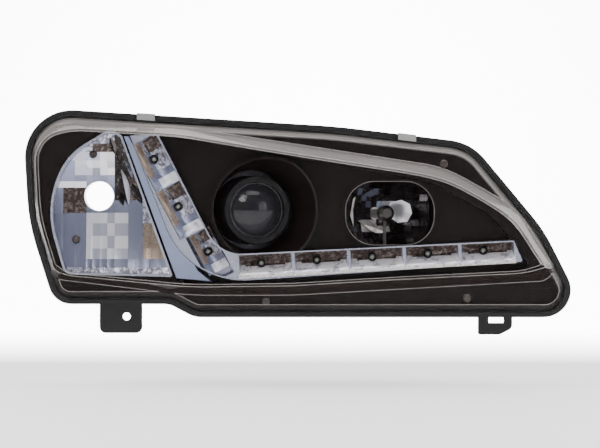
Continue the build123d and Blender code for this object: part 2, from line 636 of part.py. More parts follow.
ring_profile = [
    (RING_IN, 0),
    (HOLDER_R, 0),
    (HOLDER_R - RING_BEVEL, RING_T),
    (RING_IN + RING_BEVEL, RING_T),
]
ring_body = turned(ring_profile, LOW_LATHE)
with BuildPart() as low_lens_ring:
    add(ring_body)
save(low_lens_ring, "low_lens_ring")

dome_base = RING_IN - RING_BEVEL
dome_radius = (dome_base**2 + GLASS_DOME**2) / (2 * GLASS_DOME)
with BuildPart() as low_lens:
    with BuildSketch(LOW_LATHE):
        with BuildLine():
            Polyline((0, -GLASS_EDGE), (GLASS_R, -GLASS_EDGE), (GLASS_R, 0), (dome_base, 0))
            RadiusArc((dome_base, 0), (0, GLASS_DOME), -dome_radius)
            Line((0, GLASS_DOME), (0, -GLASS_EDGE))
        make_face()
    revolve(axis=Axis(LOW_LATHE.origin, LOW_LATHE.y_dir))
save(low_lens, "low_lens")

# shutter: a thin disc open above the cut-off line, with the line's small step
plate_back = PLATE_W - PLATE_T
shutter_in = SHUTTER_R - SHUTTER_EDGE
with BuildPart() as low_shutter:
    with BuildSketch(beam_plane(PLATE_W - SHUTTER_T, 0, LOW_Z)):
        Circle(SHUTTER_R)
        with BuildLine():
            Polyline(
                (-shutter_in, SHUTTER_STEP),
                (-SHUTTER_STEP, SHUTTER_STEP),
                (0, 0),
                (shutter_in, 0),
                (shutter_in - SHUTTER_EDGE, SHUTTER_MID),
                (SHUTTER_TOP_HALF, SHUTTER_TOP),
                (-SHUTTER_TOP_HALF, SHUTTER_TOP),
                (SHUTTER_EDGE - shutter_in, SHUTTER_MID),
                close=True,
            )
        make_face(mode=Mode.SUBTRACT)
    extrude(amount=SHUTTER_T)
save(low_shutter, "low_shutter")


def bowl_curve(radius, depth, r_from, r_to):
    """Points (radius, w) down an ellipse behind the carrier plate, from one radius to another."""
    points = []
    for i in range(CURVE_STEPS + 1):
        r = r_from + (r_to - r_from) * sin(radians(90 * i / CURVE_STEPS))
        points.append((r, plate_back - depth * sqrt(max(0.0, 1 - (r / radius) ** 2))))
    return points


def lug(s, z, w0, w1, width, height, bore):
    """A small block behind a bulb seat; bore is the radius of a hole along the row, or 0."""
    middle = (w0 + w1) / 2
    with BuildPart() as block:
        with BuildSketch(beam_plane(w0, s, z)):
            Rectangle(width, height)
        extrude(amount=w1 - w0)
        if bore:
            with BuildSketch(Plane(origin=beam_point(s, middle, z), z_dir=ALONG)):
                Circle(bore)
            extrude(amount=width, both=True, mode=Mode.SUBTRACT)
    return block.part


def seat_lugs(s, z, w):
    """Two hinge lugs above the bulb and a rest below it, behind the seat's face at w."""
    bar_w = w - BULB_BASE_T - WIRE_R - GAP
    reach = 2 * (w - bar_w)
    lugs = [
        lug(s + side * LUG_S, z + WIRE_DROP, w - reach, w, LUG_W, LUG_H, HINGE_R + RUN) for side in (-1, 1)
    ]
    lugs.append(lug(s, z - WIRE_DROP - WIRE_R - GAP - LUG_H / 2, w - reach, w, LUG_H, LUG_H, 0))
    return lugs


flange_rear = plate_back - UNIT_FLANGE_T
flange_r = (BOWL_R + BOWL_T) * sqrt(1 - (UNIT_FLANGE_T / (BOWL_DEPTH + BOWL_T)) ** 2)
outside = bowl_curve(BOWL_R + BOWL_T, BOWL_DEPTH + BOWL_T, SEAT_R, flange_r)
inside = bowl_curve(BOWL_R, BOWL_DEPTH, BULB_HOLE_R, BOWL_R)
low_lugs = seat_lugs(0, LOW_Z, SEAT_END)
with BuildPart() as low_reflector:
    with BuildSketch(LOW_LATHE):
        with BuildLine():
            Spline(*outside)
            Polyline(outside[-1], (UNIT_FLANGE_R, flange_rear), (UNIT_FLANGE_R, plate_back), inside[-1])
            Spline(*inside)
            Polyline(inside[0], (BULB_HOLE_R, SEAT_END), (SEAT_R, SEAT_END), outside[0])
        make_face()
    revolve(axis=Axis(LOW_LATHE.origin, LOW_LATHE.y_dir))
    add(low_lugs)
save(low_reflector, "low_reflector")


# ---------------------------------------------------------------- bulbs and their wire clips
def bulb_glass(lathe, seat):
    """A round-ended glass standing forward from its base at w = seat."""
    tip = seat + BULB_L
    with BuildPart() as glass:
        with BuildSketch(lathe):
            with BuildLine():
                Polyline((0, seat), (BULB_R, seat), (BULB_R, tip - BULB_R))
                RadiusArc((BULB_R, tip - BULB_R), (0, tip), -BULB_R)
                Line((0, tip), (0, seat))
            make_face()
        revolve(axis=Axis(lathe.origin, lathe.y_dir))
    return glass


def bulb_base(lathe, s, z, seat):
    """The metal base: a cup in the seat's hole, a disc behind it and one flat terminal."""
    profile = [
        (0, seat - BULB_BASE_T),
        (BULB_BASE_R, seat - BULB_BASE_T),
        (BULB_BASE_R, seat),
        (BULB_CUP_R, seat),
        (BULB_CUP_R, seat + BULB_BASE_T),
        (0, seat + BULB_BASE_T),
    ]
    body = turned(profile, lathe)
    with BuildPart() as base:
        add(body)
        with BuildSketch(beam_plane(seat - BULB_BASE_T, s, z)):
            Rectangle(SPADE_T, SPADE_W)
        extrude(amount=-SPADE_L)
    return base


def wire_clip(s, z, seat):
    """A U of spring wire hinged in the lugs above the bulb, its legs lying across the base."""
    w = seat - BULB_BASE_T - WIRE_R - GAP
    hinge = LUG_S + LUG_W
    with BuildPart() as clip:
        with BuildLine():
            FilletPolyline(
                beam_point(s - WIRE_HALF, w, z + WIRE_DROP),
                beam_point(s - WIRE_HALF, w, z - WIRE_DROP),
                beam_point(s + WIRE_HALF, w, z - WIRE_DROP),
                beam_point(s + WIRE_HALF, w, z + WIRE_DROP),
                radius=2 * WIRE_R,
            )
        with BuildSketch(Plane(origin=beam_point(s - WIRE_HALF, w, z + WIRE_DROP), z_dir=(0, 0, 1))):
            Circle(WIRE_R)
        sweep()
        with BuildSketch(Plane(origin=beam_point(s - hinge, w, z + WIRE_DROP), z_dir=ALONG)):
            Circle(HINGE_R)
        extrude(amount=2 * hinge)
    return clip


low_bulb = bulb_glass(LOW_LATHE, SEAT_END + BULB_BASE_T)
save(low_bulb, "low_bulb")
low_bulb_base = bulb_base(LOW_LATHE, 0, LOW_Z, SEAT_END)
save(low_bulb_base, "low_bulb_base")
low_bulb_clip = wire_clip(0, LOW_Z, SEAT_END)
save(low_bulb_clip, "low_bulb_clip")

# ---------------------------------------------------------------- high-beam reflector
VERTEX_W = HIGH_MOUTH - HIGH_DEPTH
HIGH_SEAT = VERTEX_W - HIGH_SEAT_L
RING_BACK = HIGH_SEAT + HIGH_T


def parabola(shift):
    """The space inside the high beam's parabola, moved back by shift."""
    vertex = VERTEX_W - shift
    reach = sqrt(4 * HIGH_FOCUS * 2 * HIGH_DEPTH)
    radii = [reach * i / CURVE_STEPS for i in range(CURVE_STEPS + 1)]
    points = [(r, vertex + r**2 / (4 * HIGH_FOCUS)) for r in radii]
    with BuildPart() as space:
        with BuildSketch(HIGH_LATHE):
            with BuildLine():
                Spline(*points)
                Polyline(points[-1], (0, points[-1][1]), points[0])
            make_face()
        revolve(axis=Axis(HIGH_LATHE.origin, HIGH_LATHE.y_dir))
    return space.part


def mouth_block(shrink):
    """The rounded-rectangle tunnel along the beam, ended parallel to the rim."""
    with BuildPart() as block:
        with BuildSketch(beam_plane(HIGH_SEAT, HIGH_S, HIGH_Z)):
            RectangleRounded(MOUTH_W - 2 * shrink, MOUTH_H - 2 * shrink, MOUTH_R - shrink)
        extrude(amount=FAR)
        split(bisect_by=Plane.XZ.offset(-HIGH_Y), keep=Keep.BOTTOM)
    return block.part


space_out, space_in = parabola(HIGH_T), parabola(0)
block_out, block_in = mouth_block(0), mouth_block(HIGH_T)
high_seat_body = rod(HIGH_LATHE, SEAT_R, HIGH_SEAT, VERTEX_W + SEAT_JOIN)
ring_r = COLLAR_R - COLLAR_T
high_ring = rod(HIGH_LATHE, ring_r, RING_BACK, VERTEX_W + RING_JOIN, ring_r - COLLAR_T)
high_hole = rod(HIGH_LATHE, BULB_HOLE_R, HIGH_SEAT, HIGH_MOUTH)
high_lugs = seat_lugs(HIGH_S, HIGH_Z, HIGH_SEAT)

with BuildPart() as high_space:
    add(block_in)
    add(space_in, mode=Mode.INTERSECT)

with BuildPart() as high_reflector:
    add(block_out)
    add(space_out, mode=Mode.INTERSECT)
    add([high_seat_body, high_ring])
    add([high_space.part, high_hole], mode=Mode.SUBTRACT)
    add(high_lugs)
save(high_reflector, "high_reflector")

high_bulb = bulb_glass(HIGH_LATHE, HIGH_SEAT + BULB_BASE_T)
save(high_bulb, "high_bulb")
high_bulb_base = bulb_base(HIGH_LATHE, HIGH_S, HIGH_Z, HIGH_SEAT)
save(high_bulb_base, "high_bulb_base")
high_bulb_clip = wire_clip(HIGH_S, HIGH_Z, HIGH_SEAT)
save(high_bulb_clip, "high_bulb_clip")

shield_w = HIGH_SEAT + BULB_BASE_T + BULB_L - SHIELD_L + SHIELD_GAP
shield_top = shield_w + SHIELD_L
shield_cup = turned(
    [
        (SHIELD_R - SHIELD_T, shield_w),
        (SHIELD_R, shield_w),
        (SHIELD_R, shield_top - SHIELD_BEVEL),
        (SHIELD_R - SHIELD_T - SHIELD_BEVEL, shield_top),
        (0, shield_top),
        (0, shield_top - SHIELD_T),
        (SHIELD_R - SHIELD_T, shield_top - SHIELD_BEVEL),
    ],
    HIGH_LATHE,
)
stem_top = SHIELD_R - MERGE
stem_drop = MOUTH_H / 2 - HIGH_T
with BuildPart() as high_bulb_shield:
    add(shield_cup)
    with BuildSketch(beam_plane(shield_w, HIGH_S, HIGH_Z - (stem_top + stem_drop) / 2)):
        Rectangle(STEM_W, stem_drop - stem_top)
    extrude(amount=STEM_T)
save(high_bulb_shield, "high_bulb_shield")

# ---------------------------------------------------------------- carrier that aims both lamps
pivot_point = beam_point(PIVOT_S, PIVOT_W, PIVOT_Z)


def cross_pin(direction, r, half):
    """A round pin through the pivot's centre."""
    with BuildPart() as pin:
        with BuildSketch(Plane(origin=pivot_point, z_dir=direction)):
            Circle(r)
        extrude(amount=half, both=True)
    return pin.part


def upright_cross(r, half):
    return cross_pin((0, 0, 1), r, half)


def level_cross(r, half):
    return cross_pin(ALONG, r, half)


collar = rod(HIGH_LATHE, COLLAR_R, PLATE_W, RING_BACK + COLLAR_LAP, ring_r)
bosses = [
    rod(PIVOT_LATHE, BOSS_R, BOSS_BACK, BOSS_FRONT),
    rod(SIDE_LATHE, AIM_BOSS_R, BOSS_BACK, PLATE_W),
    rod(LEVEL_LATHE, AIM_BOSS_R, BOSS_BACK, PLATE_W),
]
boss_mouth = rod(PIVOT_LATHE, BOSS_MOUTH_R, BOSS_BACK, PIVOT_W)
carrier_cross = level_cross(CROSS_R + CROSS_GAP, BOSS_R)
plate_shape, rib_shape = outline(PLATE), band(PLATE, 0, PLATE_RIB_T)
with BuildPart() as carrier:
    with BuildSketch(beam_plane(plate_back)):
        add(plate_shape)
    extrude(amount=PLATE_T)
    with BuildSketch(beam_plane(PLATE_W)):
        add(rib_shape)
    extrude(amount=PLATE_RIB)
    add(bosses)
    add(collar)
    with BuildSketch(beam_plane(plate_back)):
        with Locations((0, LOW_Z)):
            Circle(BOWL_R)
        with Locations((HIGH_S, HIGH_Z)):
            Circle(ring_r)
    extrude(amount=PLATE_RIB + PLATE_T, mode=Mode.SUBTRACT)
    with BuildSketch(beam_plane(BOSS_BACK)):
        with Locations((SIDE_S, PIVOT_Z), (PIVOT_S, LEVEL_Z)):
            Circle(CUP_R)
    extrude(amount=PLATE_W - BOSS_BACK, mode=Mode.SUBTRACT)
    with Locations(pivot_point):
        Sphere(SEAT_BALL_R + SEAT_GAP, mode=Mode.SUBTRACT)
    add([boss_mouth, carrier_cross], mode=Mode.SUBTRACT)
save(carrier, "carrier")

with BuildPart() as carrier_screws:
    for turn in CARRIER_SCREW_TURNS:
        s = CARRIER_SCREW_R * cos(radians(turn))
        z = LOW_Z + CARRIER_SCREW_R * sin(radians(turn))
        with BuildSketch(beam_plane(flange_front, s, z)):
            RegularPolygon(CARRIER_HEAD_R, 6)
        extrude(amount=CARRIER_HEAD_T)
save(carrier_screws, "carrier_screws")

# ---------------------------------------------------------------- aiming pivots and adjusters
stud_body = rod(PIVOT_LATHE, STUD_R, STUD_END, PIVOT_W)
stud_cross = upright_cross(CROSS_R, SEAT_BALL_R - SEAT_GAP - PIN_SHORT)
stud_collar = rod(PIVOT_LATHE, STUD_R + COLLAR_STEP, BACK_W, BACK_W + COLLAR_STEP)
with BuildPart() as pivot_stud:
    with Locations(pivot_point):
        Sphere(BALL_R)
    add([stud_body, stud_collar, stud_cross])
save(pivot_stud, "pivot_stud")

seat_mouth = rod(PIVOT_LATHE, STUD_R + STUD_SWING, PIVOT_W - SEAT_BALL_R - PIN_SHORT, PIVOT_W)
seat_cross = level_cross(CROSS_R, BOSS_R - SEAT_GAP)
cross_hole = upright_cross(CROSS_R + CROSS_GAP, SEAT_BALL_R + PIN_SHORT)
with BuildPart() as pivot_seat:
    with Locations(pivot_point):
        Sphere(SEAT_BALL_R)
    add(seat_cross)
    with Locations(pivot_point):
        Sphere(BALL_R + BALL_GAP, mode=Mode.SUBTRACT)
    add([seat_mouth, cross_hole], mode=Mode.SUBTRACT)
save(pivot_seat, "pivot_seat")


def ball_cup(s, z):
    """A plastic cup pressed into the carrier, open at the back for a ball stud."""
    lathe = beam_lathe(s, z)
    body = turned(
        [
            (0, BOSS_BACK),
            (CUP_R, BOSS_BACK),
            (CUP_R, PLATE_W),
            (CUP_R + CUP_LIP, PLATE_W),
            (CUP_R + CUP_LIP, PLATE_W + CUP_LIP_T),
            (CUP_R, PLATE_W + CUP_LIP_T),
            (CUP_R - CUP_LIP, PIVOT_W + CUP_R),
            (0, PIVOT_W + CUP_R),
        ],
        lathe,
    )
    mouth = rod(lathe, CUP_MOUTH_R, BOSS_BACK, PIVOT_W)
    with BuildPart() as cup:
        add(body)
        with Locations(beam_point(s, PIVOT_W, z)):
            Sphere(AIM_BALL_R + GAP, mode=Mode.SUBTRACT)
        add(mouth, mode=Mode.SUBTRACT)
    return cup


side_ball_seat = ball_cup(SIDE_S, PIVOT_Z)
save(side_ball_seat, "side_ball_seat")
level_ball_seat = ball_cup(PIVOT_S, LEVEL_Z)
save(level_ball_seat, "level_ball_seat")


def ball_rod(s, z, rod_r, rod_end):
    """A ball on a neck, with a straight shank behind it."""
    lathe = beam_lathe(s, z)
    shank = [rod(lathe, AIM_NECK_R, NECK_END, PIVOT_W), rod(lathe, rod_r, rod_end, NECK_END)]
    with BuildPart() as stud:
        with Locations(beam_point(s, PIVOT_W, z)):
            Sphere(AIM_BALL_R)
        add(shank)
    return stud


side_ball_stud = ball_rod(SIDE_S, PIVOT_Z, SIDE_ROD_R, SIDE_ROD_END)
save(side_ball_stud, "side_ball_stud")
level_spindle = ball_rod(PIVOT_S, LEVEL_Z, LEVEL_ROD_R, LEVEL_ROD_END)
save(level_spindle, "level_spindle")

bush_body = turned(
    [
        (SIDE_ROD_R + RUN, BUSH_END),
        (BUSH_R, BUSH_END),
        (BUSH_FLANGE_R, BUSH_END + BUSH_BEVEL),
        (BUSH_FLANGE_R, BACK_OUT),
        (BUSH_R, BACK_OUT),
        (BUSH_R, BACK_W + BUSH_REACH),
        (SIDE_ROD_R + RUN, BACK_W + BUSH_REACH),
    ],
    SIDE_LATHE,
)
with BuildPart() as side_adjuster_bush:
    add(bush_body)
save(side_adjuster_bush, "side_adjuster_bush")

wheel_body = rod(SIDE_LATHE, WHEEL_R, WHEEL_END, BUSH_END - GAP, SIDE_ROD_R + RUN)
with BuildPart() as side_adjuster_wheel:
    add(wheel_body)
    with BuildSketch(beam_plane(WHEEL_END, SIDE_S, PIVOT_Z)):
        with PolarLocations(WHEEL_R + NOTCH_OUT, WHEEL_NOTCHES):
            Circle(WHEEL_NOTCH_R)
    extrude(amount=BUSH_END - GAP - WHEEL_END, mode=Mode.SUBTRACT)
save(side_adjuster_wheel, "side_adjuster_wheel")

bore_end = LEVEL_ROD_END - ROD_ROOM
motor_front = rod(LEVEL_LATHE, LEVEL_HOLE_R - RUN, MOTOR_W0, BACK_W + BUSH_REACH)
motor_flange = rod(LEVEL_LATHE, LEVEL_HOLE_R + MOTOR_FLANGE, MOTOR_W0, BACK_OUT)
motor_bore = rod(LEVEL_LATHE, LEVEL_ROD_R + RUN, bore_end, BACK_W + BUSH_REACH)
knob_bore = rod(LEVEL_LATHE, STUD_R + RUN, MOTOR_END, bore_end - PIN_ROOM)
with BuildPart() as level_motor:
    with BuildSketch(beam_plane(MOTOR_END, PIVOT_S, LEVEL_Z)):
        RectangleRounded(MOTOR_W, MOTOR_H, MOTOR_R)
    extrude(amount=MOTOR_W0 - MOTOR_END)
    with BuildSketch(beam_plane((MOTOR_END + MOTOR_W0) / 2, PIVOT_S, LEVEL_Z - MOTOR_H / 2)):
        Rectangle(MOTOR_PLUG_W, 2 * MOTOR_PLUG_L)
    extrude(amount=-MOTOR_PLUG_H)
    add([motor_front, motor_flange])
    add([motor_bore, knob_bore], mode=Mode.SUBTRACT)
save(level_motor, "level_motor")

knob_disc = rod(LEVEL_LATHE, KNOB_R, KNOB_END, MOTOR_END - GAP)
knob_pin = rod(LEVEL_LATHE, STUD_R, KNOB_END, bore_end - PIN_ROOM - SLOT_DEEP)
with BuildPart() as level_knob:
    add([knob_disc, knob_pin])
    with BuildSketch(beam_plane(KNOB_END, PIVOT_S, LEVEL_Z)):
        with PolarLocations(KNOB_R + NOTCH_OUT, KNOB_NOTCHES):
            Circle(KNOB_NOTCH_R)
    extrude(amount=MOTOR_END - GAP - KNOB_END, mode=Mode.SUBTRACT)
    with BuildSketch(beam_plane(KNOB_END, PIVOT_S, LEVEL_Z)):
        Rectangle(SLOT_ACROSS, SLOT_OPEN)
    extrude(amount=SLOT_DEEP, mode=Mode.SUBTRACT)
save(level_knob, "level_knob")


# ---------------------------------------------------------------- rubber caps behind the bulbs
def rubber_cap(lathe, s, z, neck_r, neck_end, end):
    """A push-on rubber cap: a grip round the neck, a domed end and pull tabs."""
    grip = neck_r + GAP
    body = turned(
        [
            (grip, neck_end - GAP),
            (grip, neck_end + CAP_GRIP),
            (grip + CAP_T, neck_end + CAP_GRIP),
            (grip + CAP_T, neck_end - CAP_T),
            (neck_r - CAP_SLOPE, end),
            (0, end),
            (0, end + CAP_T),
            (neck_r - CAP_SLOPE - CAP_CORNER, end + CAP_T),
            (neck_r - WALL - CAP_INNER_LIP, neck_end - GAP),
        ],
        lathe,
    )
    with BuildPart() as cap:
        add(body)
        with BuildSketch(beam_plane(end, s, z)):
            with PolarLocations(neck_r / 2, TAB_COUNT, start_angle=90):
                Rectangle(TAB_W, TAB_L)
        extrude(amount=-TAB_T)
    return cap


low_cap = rubber_cap(LOW_LATHE, 0, LOW_Z, LOW_NECK_R, LOW_NECK_END, LOW_CAP_END)
save(low_cap, "low_cap")
high_cap = rubber_cap(HIGH_LATHE, HIGH_S, HIGH_Z, HIGH_NECK_R, HIGH_NECK_END, HIGH_CAP_END)
save(high_cap, "high_cap")

# ---------------------------------------------------------------- brackets
with BuildPart() as outer_bracket:
    with BuildSketch(Plane.XZ):
        with BuildLine():
            FilletPolyline(
                (OUTER_X0, OUTER_Z0),
                (OUTER_X1, OUTER_Z0),
                (OUTER_X1, OUTER_Z1),
                (OUTER_X0, OUTER_Z1),
                radius=CORNER_R,
                close=True,
            )
        make_face()
        Circle(OUTER_HOLE_R, mode=Mode.SUBTRACT)
        with Locations(BRACKET_SCREWS[:2]):
            Circle(SCREW_R + RUN, mode=Mode.SUBTRACT)
    extrude(amount=-BRACKET_T)
save(outer_bracket, "outer_bracket")

with BuildPart() as inner_bracket:
    with BuildSketch(Plane.XZ):
        with BuildLine():
            FilletPolyline(
                (INNER_X0, INNER_Z0),
                (INNER_X1 - INNER_CUT_X, INNER_Z0),
                (INNER_X1, INNER_Z0 + INNER_CUT_Z),
                (INNER_X1, INNER_Z1),
                (INNER_X0, INNER_Z1),
                radius=[INNER_CORNER_R, CORNER_R, CORNER_R, CORNER_R, CORNER_R],
                close=True,
            )
        make_face()
        with Locations((SLOT_X, SLOT_Z)):
            RectangleRounded(SLOT_W, SLOT_H, SLOT_R, mode=Mode.SUBTRACT)
        with Locations(BRACKET_SCREWS[2:]):
            Circle(SCREW_R + RUN, mode=Mode.SUBTRACT)
    extrude(amount=-BRACKET_T)
save(inner_bracket, "inner_bracket")


def back_lathe(x, z):
    """Like rim_lathe, but facing rearwards from the brackets' back faces."""
    return Plane(origin=(x, BRACKET_T, z), x_dir=(-1, 0, 0), z_dir=(0, 0, -1))


bracket_screw_list = [screw(back_lathe(x, z), 0) for x, z in BRACKET_SCREWS]
with BuildPart() as bracket_screws:
    add(bracket_screw_list)
save(bracket_screws, "bracket_screws")

# ---------------------------------------------------------------- wiring socket and vent
with BuildPart() as wiring_socket:
    with BuildSketch(rim(TRAY_BACK + SOCKET_FLOOR)):
        with Locations((SOCKET_X, SOCKET_Z)):
            Rectangle(SOCKET_W, SOCKET_H)
    extrude(amount=-SOCKET_L - SOCKET_FLOOR)
    with BuildSketch(rim(TRAY_BACK)):
        with Locations((SOCKET_X, SOCKET_Z)):
            Rectangle(SOCKET_W + 2 * SOCKET_RIM, SOCKET_H + 2 * SOCKET_RIM)
    extrude(amount=-SOCKET_T)
    with BuildSketch(rim(TRAY_BACK - SOCKET_L)):
        with Locations((SOCKET_X, SOCKET_Z)):
            Rectangle(SOCKET_W - 2 * SOCKET_T, SOCKET_H - 2 * SOCKET_T)
    extrude(amount=SOCKET_L, mode=Mode.SUBTRACT)
save(wiring_socket, "wiring_socket")

with BuildPart() as socket_pins:
    with BuildSketch(rim(TRAY_BACK)):
        with Locations((SOCKET_X, SOCKET_Z)):
            with GridLocations(PIN_PITCH, PIN_PITCH, PIN_COUNT, 2):
                Rectangle(PIN_W, PIN_W)
    extrude(amount=-PIN_L)
save(socket_pins, "socket_pins")

vent_body = turned(
    [
        (VENT_R + RUN, VENT_END),
        (VENT_R + RUN, VENT_END + VENT_GRIP),
        (VENT_R + VENT_CAP_T, VENT_END + VENT_GRIP),
        (VENT_R + VENT_CAP_T, VENT_END - VENT_CAP_T),
        (0, VENT_END - VENT_CAP_T),
        (0, VENT_END),
    ],
    VENT_LATHE,
)
with BuildPart() as vent_cap:
    add(vent_body)
save(vent_cap, "vent_cap")
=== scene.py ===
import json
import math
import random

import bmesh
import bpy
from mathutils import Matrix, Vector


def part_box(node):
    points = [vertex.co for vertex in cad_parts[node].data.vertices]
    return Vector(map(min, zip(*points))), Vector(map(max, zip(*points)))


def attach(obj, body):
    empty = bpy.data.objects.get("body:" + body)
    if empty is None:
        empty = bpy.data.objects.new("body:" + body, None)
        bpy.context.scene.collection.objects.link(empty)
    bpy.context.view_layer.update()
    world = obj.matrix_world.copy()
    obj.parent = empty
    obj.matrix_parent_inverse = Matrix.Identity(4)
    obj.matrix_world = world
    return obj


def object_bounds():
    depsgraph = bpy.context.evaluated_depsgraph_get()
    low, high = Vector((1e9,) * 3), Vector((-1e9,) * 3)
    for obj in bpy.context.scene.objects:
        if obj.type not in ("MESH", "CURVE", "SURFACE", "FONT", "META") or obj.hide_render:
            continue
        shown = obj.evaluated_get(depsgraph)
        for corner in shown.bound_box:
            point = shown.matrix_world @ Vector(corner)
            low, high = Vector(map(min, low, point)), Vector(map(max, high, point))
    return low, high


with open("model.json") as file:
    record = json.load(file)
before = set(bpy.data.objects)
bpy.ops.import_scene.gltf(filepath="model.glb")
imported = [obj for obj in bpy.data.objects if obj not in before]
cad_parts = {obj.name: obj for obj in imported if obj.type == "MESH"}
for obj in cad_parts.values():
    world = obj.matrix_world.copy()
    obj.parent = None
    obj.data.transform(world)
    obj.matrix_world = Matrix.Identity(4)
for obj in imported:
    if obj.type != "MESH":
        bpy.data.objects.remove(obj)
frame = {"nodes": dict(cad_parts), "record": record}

# %% [markdown]
# A car headlight is a black box with a clear lid and bright dishes inside. The CAD model already has
# every piece, at its real size and on the body that it moves with. This lesson gives the pieces their
# finishes, adds the fine facets that the moulded dishes carry, and sets a studio round them.
# Blender measures in metres. X runs along the lamp, Y runs to the rear and Z runs up. Small outlines are
# easier to read in millimetres, so a few tables below use those and say so.


def plain(bounds):
    """A box as plain lists of numbers, which a JSON file can hold."""
    return [[float(v) for v in corner] for corner in bounds]


cad_box = plain(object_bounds())
nodes = frame["nodes"]
print("CAD pieces", len(nodes), "box", cad_box)

# %% [markdown]
# A material is a graph of nodes. Sums in it are hard to follow as boxes and wires, and easy to follow as
# arithmetic. This small class wraps one output socket: adding or multiplying it places a Math node and
# links it. Any other node comes from make(), which takes the node's type, its settings and what goes
# into its inputs.

# %% Socket arithmetic
class Sock:
    """One output socket. In make(), i6 is input number 6, and Base_Color is the input Base Color."""

    def __init__(self, tree, socket=None):
        self.tree, self.socket = tree, socket

    def make(self, kind, settings=None, out=0, **inputs):
        node = self.tree.nodes.new(kind)
        for key, value in (settings or {}).items():
            if key == "stops":
                ramp = node.color_ramp
                while len(ramp.elements) < len(value):
                    ramp.elements.new(0.5)
                for element, (place, colour) in zip(ramp.elements, value):
                    element.position, element.color = place, (*colour, 1)
            else:
                setattr(node, key, value)
        for key, value in inputs.items():
            name = int(key[1:]) if key[0] == "i" and key[1:].isdigit() else key.replace("_", " ")
            target = node.inputs[name]
            if isinstance(value, Sock):
                self.tree.links.new(value.socket, target)
            else:
                target.default_value = value
        return Sock(self.tree, node.outputs[out] if node.outputs else None)

    def math(self, operation, a, b=0.0):
        return self.make("ShaderNodeMath", {"operation": operation}, i0=a, i1=b)

    def __add__(self, other):
        return self.math("ADD", self, other)

    def __radd__(self, other):
        return self.math("ADD", other, self)

    def __sub__(self, other):
        return self.math("SUBTRACT", self, other)

    def __rsub__(self, other):
        return self.math("SUBTRACT", other, self)

    def __mul__(self, other):
        return self.math("MULTIPLY", self, other)

    def __rmul__(self, other):
        return self.math("MULTIPLY", other, self)

    def __pow__(self, other):
        return self.math("POWER", self, other)

    def __abs__(self):
        return self.math("ABSOLUTE", self)

    def clamp(self):
        return self.make("ShaderNodeClamp", Value=self)

    def mix(self, low, high):
        """Between two colours, this value choosing how far."""
        return self.make("ShaderNodeMix", {"data_type": "RGBA"}, 2, i0=self, i6=(*low, 1), i7=(*high, 1))


print("sockets add, multiply and mix")

# %% The skeleton of a finish
finishes = {}


def start(name):
    """A new, empty material and the coordinates to build it on."""
    material = bpy.data.materials.new(name)
    material.use_nodes = True
    material.node_tree.nodes.clear()
    finishes[name] = material
    return Sock(material.node_tree).make("ShaderNodeTexCoord", out="Object")


def noise(place, scale, detail=3.0, rough=0.55):
    """Soft random patches; scale is about how many there are in a metre."""
    return place.make("ShaderNodeTexNoise", Vector=place, Scale=scale, Detail=detail, Roughness=rough)


def finish(place, bump, strength, distance, **inputs):
    """One Principled shader over a bump, joined to the material's output."""
    inputs["Normal"] = place.make("ShaderNodeBump", Height=bump, Strength=strength, Distance=distance)
    shader = place.make("ShaderNodeBsdfPrincipled", **inputs)
    place.make("ShaderNodeOutputMaterial", Surface=shader)


print("finish helpers ready")

# %% [markdown]
# The dishes are plastic under a thin layer of aluminium, so they are mirrors with a slight orange peel.
# The layer is never even, so two tints drift into each other, and the roughness drifts with them. The
# peel is a bump: it is far too fine for the mesh. Metallic stays below 1 where a coat of clear lacquer
# makes the real surface paler. The tile tints are not the metal's own: each is a painted reflection, the
# colour that a tile would mirror, from bright and cream to lavender and tan.

# %% Bright metals
METAL_CLOUD, METAL_MEAN = 22.0, 0.45
METAL_DRIFT, METAL_PEEL = 0.10, 0.04  # how far the clouds and the peel move the roughness


def metal(name, tint, shade, rough, peel=260.0, depth=0.05, metallic=1.0):
    place = start(name)
    cloud, fine = noise(place, METAL_CLOUD), noise(place, peel, 2.0)
    worn = (rough + METAL_DRIFT * (cloud - METAL_MEAN) + METAL_PEEL * fine).clamp()
    finish(place, fine, strength=depth, distance=0.0004, Base_Color=cloud.mix(tint, shade), Roughness=worn,
           Metallic=metallic)


metal("reflector_chrome", (0.50, 0.52, 0.62), (0.38, 0.40, 0.50), 0.24, metallic=0.7)
# a chrome darkened as painted shade: the dark reflection of the lamp's inside
metal("dark_reflection_chrome", (0.16, 0.15, 0.16), (0.08, 0.075, 0.08), 0.16)
metal("fin_chrome", (0.31, 0.35, 0.50), (0.24, 0.28, 0.42), 0.30, metallic=0.55)
# painted reflections: these tints stand for what the tiles mirror, not for the metal
metal("reflection_bright", (0.94, 0.93, 0.95), (0.78, 0.79, 0.88), 0.18, metallic=0.5)
metal("reflection_lavender", (0.36, 0.39, 0.52), (0.25, 0.27, 0.38), 0.20, metallic=0.7)
metal("reflection_mid", (0.62, 0.63, 0.73), (0.50, 0.51, 0.62), 0.20, metallic=0.6)
metal("reflection_tan", (0.40, 0.31, 0.24), (0.26, 0.21, 0.18), 0.25, metallic=0.6)
